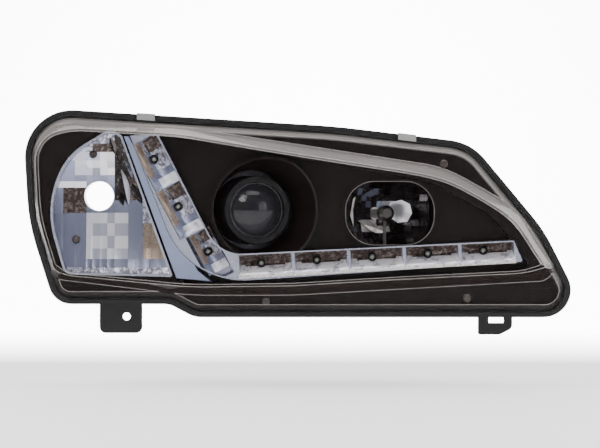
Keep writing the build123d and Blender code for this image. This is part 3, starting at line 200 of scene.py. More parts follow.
# the pale metal of the painted highlight on the high beam's lip
metal("lip_gleam", (0.42, 0.38, 0.36), (0.20, 0.18, 0.17), 0.3, metallic=0.6)
metal("reflection_cream", (0.90, 0.86, 0.80), (0.80, 0.76, 0.72), 0.25, metallic=0.4)
metal("shield_metal", (0.07, 0.065, 0.06), (0.04, 0.037, 0.036), 0.34, 500)
metal("spring_steel", (0.66, 0.66, 0.64), (0.50, 0.50, 0.50), 0.28, 700)
metal("screw_zinc", (0.14, 0.12, 0.11), (0.08, 0.07, 0.065), 0.34, 900, 0.15)
metal("stud_steel", (0.55, 0.55, 0.55), (0.44, 0.44, 0.45), 0.26, 700, 0.1)
metal("bulb_metal", (0.62, 0.60, 0.56), (0.50, 0.48, 0.45), 0.32, 700, 0.1)
metal("pin_brass", (0.78, 0.62, 0.30), (0.66, 0.50, 0.22), 0.25, 700, 0.1)
metal("cast_holder", (0.10, 0.10, 0.11), (0.06, 0.06, 0.07), 0.42, 600, 0.3)
print("metals", len(finishes))

# %% [markdown]
# The rest is plastic, rubber, nylon and coated steel. They differ in little but colour, gloss and grain,
# so one function makes them all. The bezel is a smooth semi-gloss black, the housing a duller, grainy
# one, and the rubber duller still. A black needs a low specular level too, or the studio greys it.

# %% Plastics, rubber and coatings
PLASTIC_CLOUD = 35.0
PLASTIC_DRIFT, PLASTIC_GRAIN = 0.12, 0.08


def moulded(name, dark, light, rough, grain, depth, specular=0.5):
    place = start(name)
    cloud, fine = noise(place, PLASTIC_CLOUD), noise(place, grain, 2.0)
    worn = rough + PLASTIC_DRIFT * (cloud - 0.5) + PLASTIC_GRAIN * (fine - 0.5)
    finish(place, fine, strength=depth, distance=0.0003, Base_Color=cloud.mix(dark, light), Roughness=worn,
           Specular_IOR_Level=specular)


moulded("bezel_black", (0.0045, 0.003, 0.0028), (0.010, 0.0068, 0.0062), 0.34, 500, 0.05, 0.16)
moulded("ring_black", (0.005, 0.005, 0.0055), (0.010, 0.010, 0.011), 0.36, 500, 0.05, 0.12)
moulded("housing_plastic", (0.006, 0.0055, 0.006), (0.013, 0.012, 0.0125), 0.46, 1100, 0.3, 0.32)
moulded("motor_plastic", (0.030, 0.030, 0.032), (0.045, 0.045, 0.047), 0.50, 1000, 0.3)
moulded("vent_plastic", (0.035, 0.035, 0.036), (0.050, 0.050, 0.052), 0.52, 1000, 0.3)
moulded("carrier_plastic", (0.05, 0.05, 0.052), (0.075, 0.075, 0.078), 0.50, 1000, 0.25)
moulded("rubber", (0.012, 0.012, 0.012), (0.022, 0.021, 0.021), 0.68, 700, 0.35)
moulded("nylon", (0.62, 0.60, 0.54), (0.72, 0.70, 0.65), 0.45, 800, 0.15)
moulded("circuit_board", (0.55, 0.56, 0.53), (0.66, 0.67, 0.64), 0.38, 900, 0.1)
moulded("bracket_black", (0.006, 0.006, 0.007), (0.013, 0.012, 0.012), 0.38, 900, 0.3, 0.35)
print("finishes so far", len(finishes))

# %% [markdown]
# Round each diode the dish is stippled. A noise pushed to its two ends by a steep slope gives dark and
# light specks in the colour, and the same noise raises them in the bump, so colour and relief agree. The
# relief is real; the light specks are painted glints and the dark ones painted shade. A larger scale of
# the same finish paints the broken bright reflections.

# %% Stippled finish
SPECK_SLOPE, SPECK_CLOUD = 9.0, 60.0
SPECK_ROUGH, SPECK_DRIFT = 0.28, 0.12


def stippled(name, dark, light, share, scale):
    """Specks of two colours; more share leaves fewer light ones."""
    place = start(name)
    speck, cloud = noise(place, scale, 4.0, 0.7), noise(place, SPECK_CLOUD)
    # light specks are painted glints, dark specks painted shade; the bump gives the real relief
    glint_mask = ((speck - share) * SPECK_SLOPE + 0.5).clamp()
    finish(place, speck, strength=0.5, distance=0.0006, Base_Color=glint_mask.mix(dark, light), Metallic=0.55,
           Roughness=SPECK_ROUGH + SPECK_DRIFT * cloud)


# each tone of specks is the painted light of one zone of a dish
stippled("stipple_brown", (0.055, 0.038, 0.032), (0.20, 0.165, 0.15), 0.54, 300.0)
stippled("stipple_dark", (0.018, 0.014, 0.013), (0.38, 0.35, 0.35), 0.64, 330.0)
stippled("stipple_pale", (0.16, 0.155, 0.20), (0.62, 0.64, 0.74), 0.50, 300.0)
# painted broken bright reflections for the lit slopes of the daytime strip
stippled("broken_reflection", (0.40, 0.38, 0.44), (0.93, 0.93, 0.97), 0.44, 95.0)
print("finishes so far", len(finishes))

# %% [markdown]
# The lens is clear, so almost all light goes straight through its face. Its sloping walls are seen at a
# shallow angle and look grey and milky, most of all where they face the sky. Real refraction through a
# thin double wall is slow and noisy, so the wall's own direction drives the Alpha and a paler colour
# instead: a painted reflection, which rises where the surface faces sideways, and again, as painted
# skylight, where it faces up.

# %% Clear pieces
WALL_CURVE = 0.8    # below 1, a wall that slopes only a little already takes the painted grey reflection
SKY_SLOPE, SKY_BASE = 2.0, 0.08
SHADE_SHARE = 0.38  # how much of its painted grey reflection a wall keeps where no painted skylight falls
CLEAR_CLOUD, CLEAR_DRIFT = 14.0, 0.04


def clear(name, tint, edge, face_alpha, wall_alpha, rough, skylit=0.0):
    place = start(name)
    facing = place.make("ShaderNodeNewGeometry", out="Normal")
    forward = place.make("ShaderNodeSeparateXYZ", out="Y", Vector=facing)
    upward = place.make("ShaderNodeSeparateXYZ", out="Z", Vector=facing)
    side = (1.0 - abs(forward)).clamp() ** WALL_CURVE
    cloud, fine = noise(place, CLEAR_CLOUD), noise(place, 300.0, 2.0)
    # painted skylight: walls that face up are drawn paler and less clear
    lit = (upward * SKY_SLOPE + SKY_BASE).clamp() * skylit + (1.0 - skylit)
    wall = wall_alpha * (SHADE_SHARE + (1.0 - SHADE_SHARE) * lit) * (0.75 + 0.5 * cloud)
    alpha = (face_alpha + (wall - face_alpha) * side).clamp()
    finish(place, fine, strength=0.02, distance=0.0003, Base_Color=(side * lit).mix(tint, edge), Alpha=alpha,
           Roughness=rough + CLEAR_DRIFT * cloud, IOR=1.5)


# the pale wall colour is a painted reflection, paler still where the walls face up
clear("lens_clear", (0.05, 0.034, 0.028), (0.66, 0.61, 0.58), 0.014, 0.44, 0.06, 1.0)
# the pale colour of the painted highlight beads on the lens's edges
clear("lens_edge", (0.60, 0.56, 0.53), (0.70, 0.66, 0.63), 0.25, 0.45, 0.15)
# a dark, mostly opaque glass: painted shade for the dark inside of the projector seen through it
clear("projector_glass", (0.012, 0.012, 0.016), (0.02, 0.02, 0.025), 0.62, 0.85, 0.03)
clear("bulb_glass", (0.75, 0.76, 0.80), (0.50, 0.50, 0.54), 0.25, 0.6, 0.03)
clear("led_epoxy", (0.42, 0.45, 0.38), (0.30, 0.32, 0.28), 0.75, 0.9, 0.06)
print("finishes so far", len(finishes))

# %% [markdown]
# The CAD record says which material each piece is made of, so the pieces are painted in one loop. Only
# the two deep dishes differ from their record: they get a darker chrome than the shallow ones, a painted
# shade that stands in for the dark of the lamp's inside mirrored in them.

# %% Painting the CAD pieces
slot_of = {subpart["node"]: subpart["material_slot"] for subpart in frame["record"]["subparts"]}
dark_reflection_override = {"high_reflector": "dark_reflection_chrome", "low_reflector": "dark_reflection_chrome"}
for name, obj in nodes.items():
    obj.data.materials.clear()
    obj.data.materials.append(finishes[dark_reflection_override.get(name, slot_of[name])])
print("painted", len(slot_of), "pieces")

# %% [markdown]
# The CAD dishes are smooth. A real one is cut into tiles, each aimed a little differently, and that is
# what makes it sparkle. A bump map could fake it from the front, but only real faces tilt their
# reflections and stay true from the side. So each tile is a closed block: a patch of points follows the
# dish at the front, a second patch lies under it, and a rim of faces joins the two.

# %% A closed block from a formula
def patch(bm, nu, nv, place, tint):
    """place(u, v) gives the front and the back point, and tint(u, v) the number of the finish."""
    grid = [[place(i / nu, j / nv) for j in range(nv + 1)] for i in range(nu + 1)]
    front, back = ([[bm.verts.new(pair[side]) for pair in line] for line in grid] for side in (0, 1))
    for i in range(nu):
        for j in range(nv):
            number = tint((i + 0.5) / nu, (j + 0.5) / nv)
            for layer in (front, back):
                corners = (layer[i][j], layer[i + 1][j], layer[i + 1][j + 1], layer[i][j + 1])
                bm.faces.new(corners).material_index = number
    rim = [(i, 0) for i in range(nu)] + [(nu, j) for j in range(nv)]
    rim += [(i, nv) for i in range(nu, 0, -1)] + [(0, j) for j in range(nv, 0, -1)]
    for (i, j), (k, m) in zip(rim, rim[1:] + rim[:1]):
        bm.faces.new((front[i][j], front[k][m], back[k][m], back[i][j])).material_index = tint(0.5, 0.5)


print("patch ready")

# %% [markdown]
# Rows and columns of tiles overrun the dish's rounded outline. Trimming each tile by hand would be slow,
# and a Boolean is easily upset by faces that touch. Since the outline bulges outwards everywhere, it is
# enough to cut along each of its short sides with a plane and to close each cut.

# %% Trimming to an outline
def rounded(corners, steps=6):
    """The points in metres of an outline whose corners are (x, z, radius) in millimetres."""
    points = []
    for i, (x, z, r) in enumerate(corners):
        here = Vector((x, z))
        a = (Vector(corners[i - 1][:2]) - here).normalized()
        b = (Vector(corners[(i + 1) % len(corners)][:2]) - here).normalized()
        half = a.angle(b) / 2
        centre = here + (a + b).normalized() * r / math.sin(half)
        spoke = here + a * r / math.tan(half) - centre
        turn = math.copysign(math.pi - 2 * half, a.x * b.y - a.y * b.x)
        for k in range(steps + 1):
            c, s = math.cos(-turn * k / steps), math.sin(-turn * k / steps)
            points.append((centre + Vector((spoke.x * c - spoke.y * s, spoke.x * s + spoke.y * c))) / 1000)
    return points


def clip(bm, outline, inset):
    """Cut away what lies outside a convex outline shrunk by inset, and close the cuts."""
    middle = sum(outline, Vector((0, 0))) / len(outline)
    for a, b in zip(outline, outline[1:] + outline[:1]):
        if (b - a).length < 1e-6:
            continue
        out = Vector((b - a).yx) * Vector((1, -1))
        out = out.normalized() * (1 if out.dot(a - middle) > 0 else -1)
        at = a - out * inset
        bmesh.ops.bisect_plane(bm, geom=bm.verts[:] + bm.edges[:] + bm.faces[:], dist=1e-7,
                               plane_co=(at.x, 0, at.y), plane_no=(out.x, 0, out.y), clear_outer=True)
        bmesh.ops.holes_fill(bm, edges=[e for e in bm.edges if e.is_boundary])


print("outline tools ready")

# %% [markdown]
# Blender keeps a mesh and the object that shows it apart. piece() joins them: it cleans the mesh, points
# its faces outwards, gives it its finishes and hangs it on the body that it has to move with.

# %% From mesh to piece
def piece(name, bm, body, names):
    bmesh.ops.remove_doubles(bm, verts=bm.verts, dist=2e-6)
    bmesh.ops.dissolve_degenerate(bm, edges=bm.edges, dist=1e-6)
    bmesh.ops.recalc_face_normals(bm, faces=bm.faces)
    mesh = bpy.data.meshes.new(name)
    bm.to_mesh(mesh)
    bm.free()
    for finish_name in names:
        mesh.materials.append(finishes[finish_name])
    obj = bpy.data.objects.new(name, mesh)
    bpy.context.collection.objects.link(obj)
    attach(obj, body)
    print(name, len(mesh.polygons), "faces")


print("piece ready")

# %% [markdown]
# The turn reflector is a shallow bowl round the bulb's opening. The opening's place and radius come from
# the CAD record, where it is a mount. The lens rim's plane is the datum that all heights start from.

# %% The turn reflector's bowl
DISH_PROUD = 0.006  # the turn reflector reaches this far ahead of the rim
RIM_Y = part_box("turn_reflector")[0].y + DISH_PROUD
opening = next(m for m in frame["record"]["mounts"] if m["name"] == "turn_bulb_opening")
TURN_HOLE = Vector((opening["pos_m"][0], opening["pos_m"][2]))
HOLE_R = opening["dims"]["r_mm"] / 1000 + 0.0006
BOWL_R, BOWL_BACK = 0.250, -0.018
TURN_EDGE = [(46, 38.5, 2), (-2.5, 172.5, 2), (-14, 179, 10), (-52, 156, 60), (-77, 110, 90), (-57, 41, 10)]
EDGE_GAP = 0.0023   # between the tiles and the dish's edge


def bowl(x, z):
    """How far the bowl stands ahead of the rim at a place."""
    away = (Vector((x, z)) - TURN_HOLE).length
    return BOWL_BACK + BOWL_R - math.sqrt(BOWL_R ** 2 - away ** 2)


print("opening at", tuple(round(v, 4) for v in TURN_HOLE), "rim at", round(RIM_Y, 4))

# %% [markdown]
# A tile is bright where it looks at a light and dark where it looks at black plastic. Here that is
# painted: each zone of the dish gets its own colour, a painted reflection that stays the same from every
# side. The zones are boxes in millimetres, right of and above the opening's middle, and the first one
# that holds a tile's middle wins.

# %% Zones of the turn reflector
TURN_REFLECTIONS = ["reflection_lavender", "reflection_bright", "reflection_tan", "stipple_brown", "stipple_dark", "stipple_pale",
                 "reflection_mid"]
LAVENDER, BRIGHT, TAN, BROWN, DARK, PALE, MID = range(7)
FAR = 999
TURN_ZONES = [  # left, right, bottom, top, painted reflection
    (15, 30, -9, FAR, DARK), (15, FAR, 30, FAR, DARK), (15, FAR, -9, FAR, BROWN),
    (-8, FAR, 42, 52, BROWN), (-20, FAR, 42, FAR, PALE), (-FAR, FAR, 42, FAR, LAVENDER),
    (-24, FAR, 27, 34, BRIGHT), (0, FAR, 20, 34, BRIGHT), (-24, FAR, 20, 34, MID),
    (0, 15, 34, FAR, BRIGHT), (-FAR, FAR, 34, FAR, MID),
    (-34, -12, -16, 8, BROWN), (-FAR, -12, -16, 8, LAVENDER),
    (-FAR, -12, 8, 15, BRIGHT), (-FAR, FAR, 8, FAR, LAVENDER),
    (-FAR, FAR, -FAR, -64, PALE), (-FAR, FAR, -FAR, -58, LAVENDER),
    (-10, -3, -FAR, -16, BRIGHT), (-3, 28, -FAR, -16, None),
    (42, FAR, -FAR, -30, TAN), (42, FAR, -FAR, FAR, PALE)]
CHECK, CHECK_FROM = 12, -10  # the one zone without a single painted reflection is a chequer: its size and its left side


def turn_reflection_kind(dx, dz):
    for left, right, bottom, top, kind in TURN_ZONES:
        if left < dx < right and bottom < dz < top:
            if kind is None:
                return BRIGHT if (round((dx - CHECK_FROM) / CHECK) + round(-dz / CHECK)) % 2 else MID
            return kind
    return LAVENDER


print("zones", len(TURN_ZONES))

# %% [markdown]
# Each tile leans by a small random amount and is crowned like a roof tile. The lavender ones lean less,
# because they make up one calm area. A seeded dice gives the same leans on every run. Points that would
# fall inside the opening are pushed out to its edge, so the tiles there end in a clean arc.

# %% Turn reflector tiles
dice = random.Random(11)
COLUMNS = [-55, -43, -34, -23, -12, -6, 1, 8, 15, 28, 42, 50, 60, 74]
ROWS = [66, 58, 50, 42, 34, 27, 20, 14, 8, -4, -16, -26, -38, -50, -60, -68, -80]
TILE_RISE, TILE_CROWN, TILE_SINK = 0.0011, 0.0004, 0.0002
LEAN_X, LEAN_Z, CALM = 0.0008, 0.0007, 0.25
TILE_STEPS = 4
SKIP_X, SKIP_Z = 8, 6  # mm: a tile whose middle is nearer than this lies over the opening


def turn_tile(bm, left, right, top, bottom):
    kind = turn_reflection_kind((left + right) / 2, (top + bottom) / 2)
    calm = CALM if kind == LAVENDER else 1.0
    lean_x = dice.uniform(-LEAN_X, LEAN_X) * calm
    lean_z = dice.uniform(-LEAN_Z, LEAN_Z) * calm

    def place(u, v):
        flat = Vector((left + (right - left) * u, top + (bottom - top) * v)) / 1000
        if flat.length < HOLE_R:
            flat = flat.normalized() * HOLE_R
        x, z = TURN_HOLE + flat
        height = bowl(x, z)
        rise = TILE_RISE + lean_x * (u - 0.5) + lean_z * (v - 0.5) + TILE_CROWN * (1 - (2 * u - 1) ** 2)
        return Vector((x, RIM_Y - height - rise, z)), Vector((x, RIM_Y - height + TILE_SINK, z))

    patch(bm, TILE_STEPS, TILE_STEPS, place, lambda u, v: kind)


bm = bmesh.new()
for left, right in zip(COLUMNS, COLUMNS[1:]):
    for top, bottom in zip(ROWS, ROWS[1:]):
        over_opening = abs(left + right) / 2 < SKIP_X and abs(top + bottom) / 2 < SKIP_Z
        if not over_opening:
            turn_tile(bm, left, right, top, bottom)
clip(bm, rounded(TURN_EDGE), EDGE_GAP)
piece("turn_tiles", bm, "lamp_body", TURN_REFLECTIONS)

# %% [markdown]
# Leaf-shaped facets stand in the dark part beside the opening. Each is two long faces that meet in a
# ridge, so one side faces the light and the other doesn't: one is painted in the leaf's light colour and
# the other painted dark, a painted highlight and painted shade. A sine makes the leaf swell in the middle
# and close at its tips, and its ends stop just short of zero width, so no face collapses.

# %% Leaf facets
LEAVES = [  # one end and the other, in mm from the opening's middle, half width, ridge height, painted colour of the lit side
    ((21, 25), (28, -8), 4.6, 4.0, BRIGHT), ((24, 34), (32, 16), 3.2, 4.5, PALE),
    ((17, 44), (22, 26), 3.0, 3.0, BROWN), ((31, 12), (41, -7), 3.6, 3.2, DARK),
    ((11, 56), (16, 40), 3.0, 2.5, TAN), ((20, 3), (23, -9), 2.6, 2.5, DARK)]
LEAF_TIP, LEAF_POWER = 0.03, 0.8
LEAF_RISE, LEAF_SINK = 0.0016, 0.0004


def leaf(bm, start_at, end_at, half_width, ridge, kind):
    first, last = Vector(start_at) / 1000, Vector(end_at) / 1000
    across = Vector(((last - first).y, -(last - first).x)).normalized() * half_width / 1000

    def place(u, v):
        swell = math.sin(math.pi * (LEAF_TIP + (1 - 2 * LEAF_TIP) * v)) ** LEAF_POWER
        flat = first + (last - first) * v + across * (2 * u - 1) * swell
        x, z = TURN_HOLE + flat
        lift = LEAF_RISE + ridge / 1000 * (1 - abs(2 * u - 1)) * swell
        return Vector((x, RIM_Y - bowl(x, z) - lift, z)), Vector((x, RIM_Y - bowl(x, z) - LEAF_SINK, z))

    # the first face takes the leaf's painted highlight, the second painted shade
    patch(bm, 2, 10, place, lambda u, v: kind if u < 0.5 else DARK)


bm = bmesh.new()
for shape in LEAVES:
    leaf(bm, *shape)
clip(bm, rounded(TURN_EDGE), EDGE_GAP)
piece("turn_leaves", bm, "lamp_body", TURN_REFLECTIONS)

# %% [markdown]
# The daytime strip has three diodes on its slanted leg and five in a row. Where they stand comes from
# the CAD pieces, so the troughs below follow the diodes if the CAD model changes.

# %% Where the diodes stand
def diode(number):
    """The middle of one diode, seen from the front, in millimetres."""
    low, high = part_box(f"led_{number}")
    return (low.x + high.x) * 500, (low.z + high.z) * 500


ROW_LEAN, LEG_LEAN = 3.3, -62.0
row = [(*diode(number), ROW_LEAN) for number in range(4, 9)]
leg = [(*diode(number), LEG_LEAN) for number in range(1, 4)]
print("diodes", [(round(x, 1), round(z, 1)) for x, z, lean in leg + row])

# %% [markdown]
# Every diode sits in a small trough. Its lower side slopes forward and catches the light from above, and
# its upper side looks down and stays dark and stippled. The trough is real; its bright lower side and
# dark upper side are painted light and painted shade. One height formula makes both sides: it is
# deepest on the diode's line and rises to the strip's face all round.

# %% A trough
FACE_H = 6.3                      # mm ahead of the rim, just proud of the strip's moulded face
LOW_RUN, TOP_SINK = 9.8, 1.5      # mm: where the lower slope meets the face, and how low the upper ends
LOW_CURVE, TOP_CURVE = 1.25, 1.6
RIPPLE, RIPPLE_TURNS = 0.7, 1.5   # mm of ripple on the lower slope, and how often it turns
END_POWER = 16                    # the higher, the squarer the two ends
TROUGH_BACK, TROUGH_GRID = 0.0085, (20, 14)


def trough(bm, x, z, lean, half_l, low, top, kind, depth, shift=4.0):
    """One trough, leaning so many degrees, from low to top across it; lengths in millimetres."""
    c, s = math.cos(math.radians(lean)), math.sin(math.radians(lean))

    def place(u, v):
        across = math.sin(math.pi * (u - 0.5))
        along, up = across * half_l + shift, low + (top - low) * v
        reach = min(1.0, up / -LOW_RUN if up < 0 else up / top)
        rise = FACE_H - depth - TOP_SINK * (up > 0)
        height = depth + rise * reach ** (LOW_CURVE if up < 0 else TOP_CURVE)
        if up < 0 and 0 < reach < 1:
            height -= RIPPLE * math.sin(RIPPLE_TURNS * math.pi * across)
        height += (FACE_H - height) * abs(across) ** END_POWER
        flat = Vector((x + along * c - up * s, 0, z + along * s + up * c)) / 1000
        return flat + Vector((0, RIM_Y - height / 1000, 0)), flat + Vector((0, RIM_Y + TROUGH_BACK, 0))

    patch(bm, *TROUGH_GRID, place, kind)


print("trough ready")

# %% [markdown]
# Along the row, a trough has a cream lower lip, a bright slope with a slight smile, and specks above it,
# all painted reflections and painted shade. On the slanted leg the same trough is seen turned, so its
# painted bright, soft and warm parts lie elsewhere.

# %% Troughs of the daytime strip
STRIP_PAINTED_LIGHT = ["broken_reflection", "reflection_cream", "stipple_brown", "reflection_lavender", "reflection_tan",
                  "stipple_pale"]
SHINE, CREAM, SPECKLE, SOFT, WARM, FROST = range(6)


# painted light on a row trough: cream lip, bright lit slope, specks in painted shade above
def row_painted_light(u, v):
    if v < 0.08:
        return CREAM
    smile = 0.60 - 0.09 * math.sin(math.pi * u)
    return SHINE if v < smile else SPECKLE


def leg_painted_light(u, v):
    if v < 0.30:
        return WARM if u < 0.66 else SOFT
    if u < 0.34:
        return SPECKLE if v > 0.45 else FROST
    if u > 0.72:
        return SHINE
    return FROST if v > 0.45 and u < 0.6 else SOFT


bm = bmesh.new()
for x, z, lean in row:
    trough(bm, x, z, lean, half_l=26.2, low=-13.6, top=8.6, kind=row_painted_light, depth=-5.2)
for x, z, lean in leg[:2]:
    trough(bm, x, z, lean, half_l=25.2, low=-12.4, top=12.4, kind=leg_painted_light, depth=-4.8)
trough(bm, *leg[2], half_l=21.0, low=-9.6, top=11.8, kind=leg_painted_light, depth=-4.8, shift=0.0)
piece("strip_troughs", bm, "lamp_body", STRIP_PAINTED_LIGHT)

# %% [markdown]
# A small dark collar holds each diode and gives its dome a crisp outline. It is a turned part, so its
# section is carried round a circle: corners at each step, joined to the corners of the next.

# %% Dark collars round the diodes
COLLAR = [(0.0027, -0.006), (0.0027, 0.0012), (0.0032, 0.0020), (0.0042, 0.0016), (0.0044, -0.006)]
COLLAR_STEPS, COLLAR_BACK = 24, 0.0020


def join_loops(bm, here, there):
    """Faces between two loops of corners."""
    for m in range(len(here)):
        n = (m + 1) % len(here)
        bm.faces.new((here[m], here[n], there[n], there[m]))


def collar(bm, centre):
    forward = Vector((0, -1, 0))
    side = forward.orthogonal().normalized()
    up = forward.cross(side)
    loops = []
    for k in range(COLLAR_STEPS):
        a = math.tau * k / COLLAR_STEPS
        spoke = side * math.cos(a) + up * math.sin(a)
        loops.append([bm.verts.new(centre + spoke * r + forward * w) for r, w in COLLAR])
    for here, there in zip(loops, loops[1:] + loops[:1]):
        join_loops(bm, here, there)


bm = bmesh.new()
for x, z, lean in row + leg:
    collar(bm, Vector((x / 1000, RIM_Y + COLLAR_BACK, z / 1000)))
piece("led_collars", bm, "lamp_body", ["ring_black"])

# %% [markdown]
# The high beam's dish is a deep parabola. It points straight ahead while the lamp's face is swept back,
# so its tiles are laid out along the row of lamps and forward along the beam. Their colours are painted
# reflections. Most of them look at the black hood and are painted dark. A few look at the sky: a cool
# patch beside the bulb, a cream one below it and a cluster of small sparkles above, all painted.

# %% The high beam's dish and its zones
SWEEP = math.radians(18.0)
ALONG = Vector((math.cos(SWEEP), math.sin(SWEEP), 0))
BEAM = Vector((math.sin(SWEEP), -math.cos(SWEEP), 0))
LOW_MIDDLE, SPACING = Vector((0.125, -0.022, 0.099)), 0.126037
HIGH_MIDDLE = LOW_MIDDLE + ALONG * SPACING
VERTEX, FOCUS = -0.01692, 0.016
HIGH_REFLECTIONS = ["dark_reflection_chrome", "reflection_bright", "reflection_cream", "stipple_dark", "reflection_lavender"]
DARK_REFLECTION, COOL, WARM_LIT, SPARK, HAZE = range(5)


def high_reflection_kind(ds, dz):
    """A tile's painted reflection, from its middle's millimetres along the row and up from the bulb."""
    if 3 < ds < 27 and -9 < dz < 13:
        return COOL if ds + dz < 30 else HAZE
    if -19 < ds < 12 and -19 < dz < -6 and dz < -8 - 0.35 * ds:
        return WARM_LIT
    if -22 < ds < 6 and 4 < dz < 26:
        return SPARK if (round(ds / 5) + round(dz / 5)) % 3 else HAZE
    return DARK_REFLECTION


def dish(s, z, over):
    """A point over the parabola, from the bulb's axis in metres."""
    height = VERTEX + (s * s + z * z) / (4 * FOCUS)
    return HIGH_MIDDLE + ALONG * s + Vector((0, 0, z)) + BEAM * (height + over)


print("high beam at", tuple(round(v, 4) for v in HIGH_MIDDLE))

# %% [markdown]
# The tiles stop round the bulb, and the dish's flattened corners have none. Each one tips a little by
# the same seeded dice. Over them lie a few larger facets with straight edges, painted bright: painted
# reflections of a window or a lamp in the dish's polished facets. All of it rides on the carrier, because
# the dish turns when the lamp is aimed.

# %% High-beam tiles
TILE, BULB_CLEAR = 6, 9
TIP, HIGH_RISE, HIGH_SINK, FLAKE_T = 0.0005, 0.0011, 0.0003, 0.0008
FLAKES = [  # rise in metres, painted reflection, outline in mm along the row and up
    (0.0032, COOL, [(10, 4), (13, 11), (22, 13), (29, 9), (31, 0), (27, -8), (19, -9), (12, -3)]),
    (0.0034, WARM_LIT, [(-22, -7), (-12, -6), (-3, -10), (8, -19), (-3, -19), (-9, -16), (-15, -11)]),
    (0.0034, WARM_LIT, [(-30, 14), (-27, 16), (-31, 2), (-29, -13), (-33, -2)]),
    (0.0034, HAZE, [(-16, 19), (-8, 23), (-3, 18), (-9, 15)])]


def high_tile(bm, ds, dz):
    tip_s, tip_z = dice.uniform(-TIP, TIP), dice.uniform(-TIP, TIP)

    def place(u, v):
        s, z = (ds + (u - 0.5) * TILE) / 1000, (dz + (v - 0.5) * TILE) / 1000
        rise = HIGH_RISE + tip_s * (u - 0.5) * 2 + tip_z * (v - 0.5) * 2
        return dish(s, z, rise), dish(s, z, -HIGH_SINK)

    patch(bm, 2, 2, place, lambda u, v: high_reflection_kind(ds, dz))


def flake(bm, rise, kind, outline):
    """A painted reflection: a bright facet's outline and a middle point on two levels, and a rim between
    them.
    """
    layers = []
    for over in (rise, rise - FLAKE_T):
        layer = [bm.verts.new(dish(s / 1000, z / 1000, over)) for s, z in outline]
        middle_vert = bm.verts.new(sum((v.co for v in layer), Vector()) / len(layer))
        for a, b in zip(layer, layer[1:] + layer[:1]):
            bm.faces.new((a, b, middle_vert)).material_index = kind
        layers.append(layer)
    for k in range(len(outline)):
        n = (k + 1) % len(outline)
        bm.faces.new((layers[0][k], layers[0][n], layers[1][n], layers[1][k])).material_index = kind


bm = bmesh.new()
for i in range(-7, 7):
    for j in range(-5, 5):
        ds, dz = (i + 0.5) * TILE, (j + 0.5) * TILE
        in_corner = abs(ds) > 30 and abs(dz) > 18
        if math.hypot(ds, dz) >= BULB_CLEAR and not in_corner:
            high_tile(bm, ds, dz)
for shape in FLAKES:
    flake(bm, *shape)
piece("high_tiles", bm, "carrier_frame", HIGH_REFLECTIONS)

# %% [markdown]
# A thin bright line is easy to lose in a render. A six-sided bead of real geometry, about two thirds of
# a millimetre thick, holds it from every angle, its pale colour a painted highlight. This helper makes
# the corners round one point of it.

# %% Corners of a bead
SIDES = 6


def corners_round(bm, at, lean, side, radius):
    """Six corners round a bar that runs along lean, the first of them towards side."""
    side = side.normalized() * radius
    over = lean.cross(side).normalized() * radius
    turns = [math.tau * k / SIDES for k in range(SIDES)]
    return [bm.verts.new(at + side * math.cos(a) + over * math.sin(a)) for a in turns]


print("bead corners ready")

# %% [markdown]
# The opening in front of the high beam has a raised lip, and its polished edge draws a thin light line.
# Here that line is a painted highlight: a bead of pale metal on the lip.
# The bead follows the same rounded rectangle that the lip has: a quarter circle at each corner, with
# straight runs between them.

# %% Gleam round the high beam's opening
LIP_X, LIP_Z = 0.252, 0.099
LIP_W, LIP_H, LIP_R = 0.0846, 0.0606, 0.0272
LIP_BACK = 0.0089  # behind the rim, a hair ahead of the lip itself
LIP_BEAD_R, QUARTER_STEPS = 0.00035, 8

around = []
for corner, (side_x, side_z) in enumerate(((1, 1), (-1, 1), (-1, -1), (1, -1))):
    for k in range(QUARTER_STEPS + 1):
        a = math.radians(90 * corner + 90 * k / QUARTER_STEPS)
        x = side_x * (LIP_W / 2 - LIP_R) + LIP_R * math.cos(a)
        z = side_z * (LIP_H / 2 - LIP_R) + LIP_R * math.sin(a)
        around.append(Vector((LIP_X + x, RIM_Y + LIP_BACK, LIP_Z + z)))

bm = bmesh.new()
loops = []
for k, here in enumerate(around):
    lean = (around[(k + 1) % len(around)] - around[k - 1]).normalized()
    loops.append(corners_round(bm, here, lean, lean.cross(Vector((0, 1, 0.01))), LIP_BEAD_R))
for here, there in zip(loops, loops[1:] + loops[:1]):
    join_loops(bm, here, there)
piece("high_lip_gleam", bm, "lamp_body", ["lip_gleam"])

# %% [markdown]
# A moulded clear edge is slightly round and shows as a thin bright line. The CAD edge is perfectly
# sharp, so nothing gleams. A bead in a pale colour runs along each sharp edge of the lens's bubble, a
# painted highlight. The edges are read from the lens's own mesh: each smooth CAD face is a separate
# patch of it, so an edge that two patches share shows up twice, and it is sharp where the two normals
# differ.

# %% Bead along the lens edges
LEAST_TURN = 0.35      # radians between the two faces of an edge that counts as sharp
BUBBLE_FRONT = 0.0105  # only edges further ahead of the rim than this get a bead
BEAD_R = 0.0003


def sharp_edges(mesh, front_of):
    """The ends of each sharp edge in front of a plane."""
    meets = {}
    for polygon in mesh.polygons:
        for key in polygon.edge_keys:
            ends = tuple(sorted(tuple(round(c, 5) for c in mesh.vertices[i].co) for i in key))
            meets.setdefault(ends, []).append(polygon.normal)
    return [ends for ends, normals in meets.items()
            if len(normals) == 2 and ends[0] != ends[1] and max(ends[0][1], ends[1][1]) < front_of
            and normals[0].angle(normals[1], 0.0) > LEAST_TURN]


bm = bmesh.new()
for a, b in sharp_edges(nodes["lens"].data, RIM_Y - BUBBLE_FRONT):
    a, b = Vector(a), Vector(b)
    lean = (b - a).normalized()
    places = (a - lean * BEAD_R, b + lean * BEAD_R)
    ends = [corners_round(bm, at, lean, lean.orthogonal(), BEAD_R) for at in places]
    join_loops(bm, *ends)
    bm.faces.new(ends[0])
    bm.faces.new(ends[1])
piece("lens_edge_highlight_bead", bm, "lamp_body", ["lens_edge"])

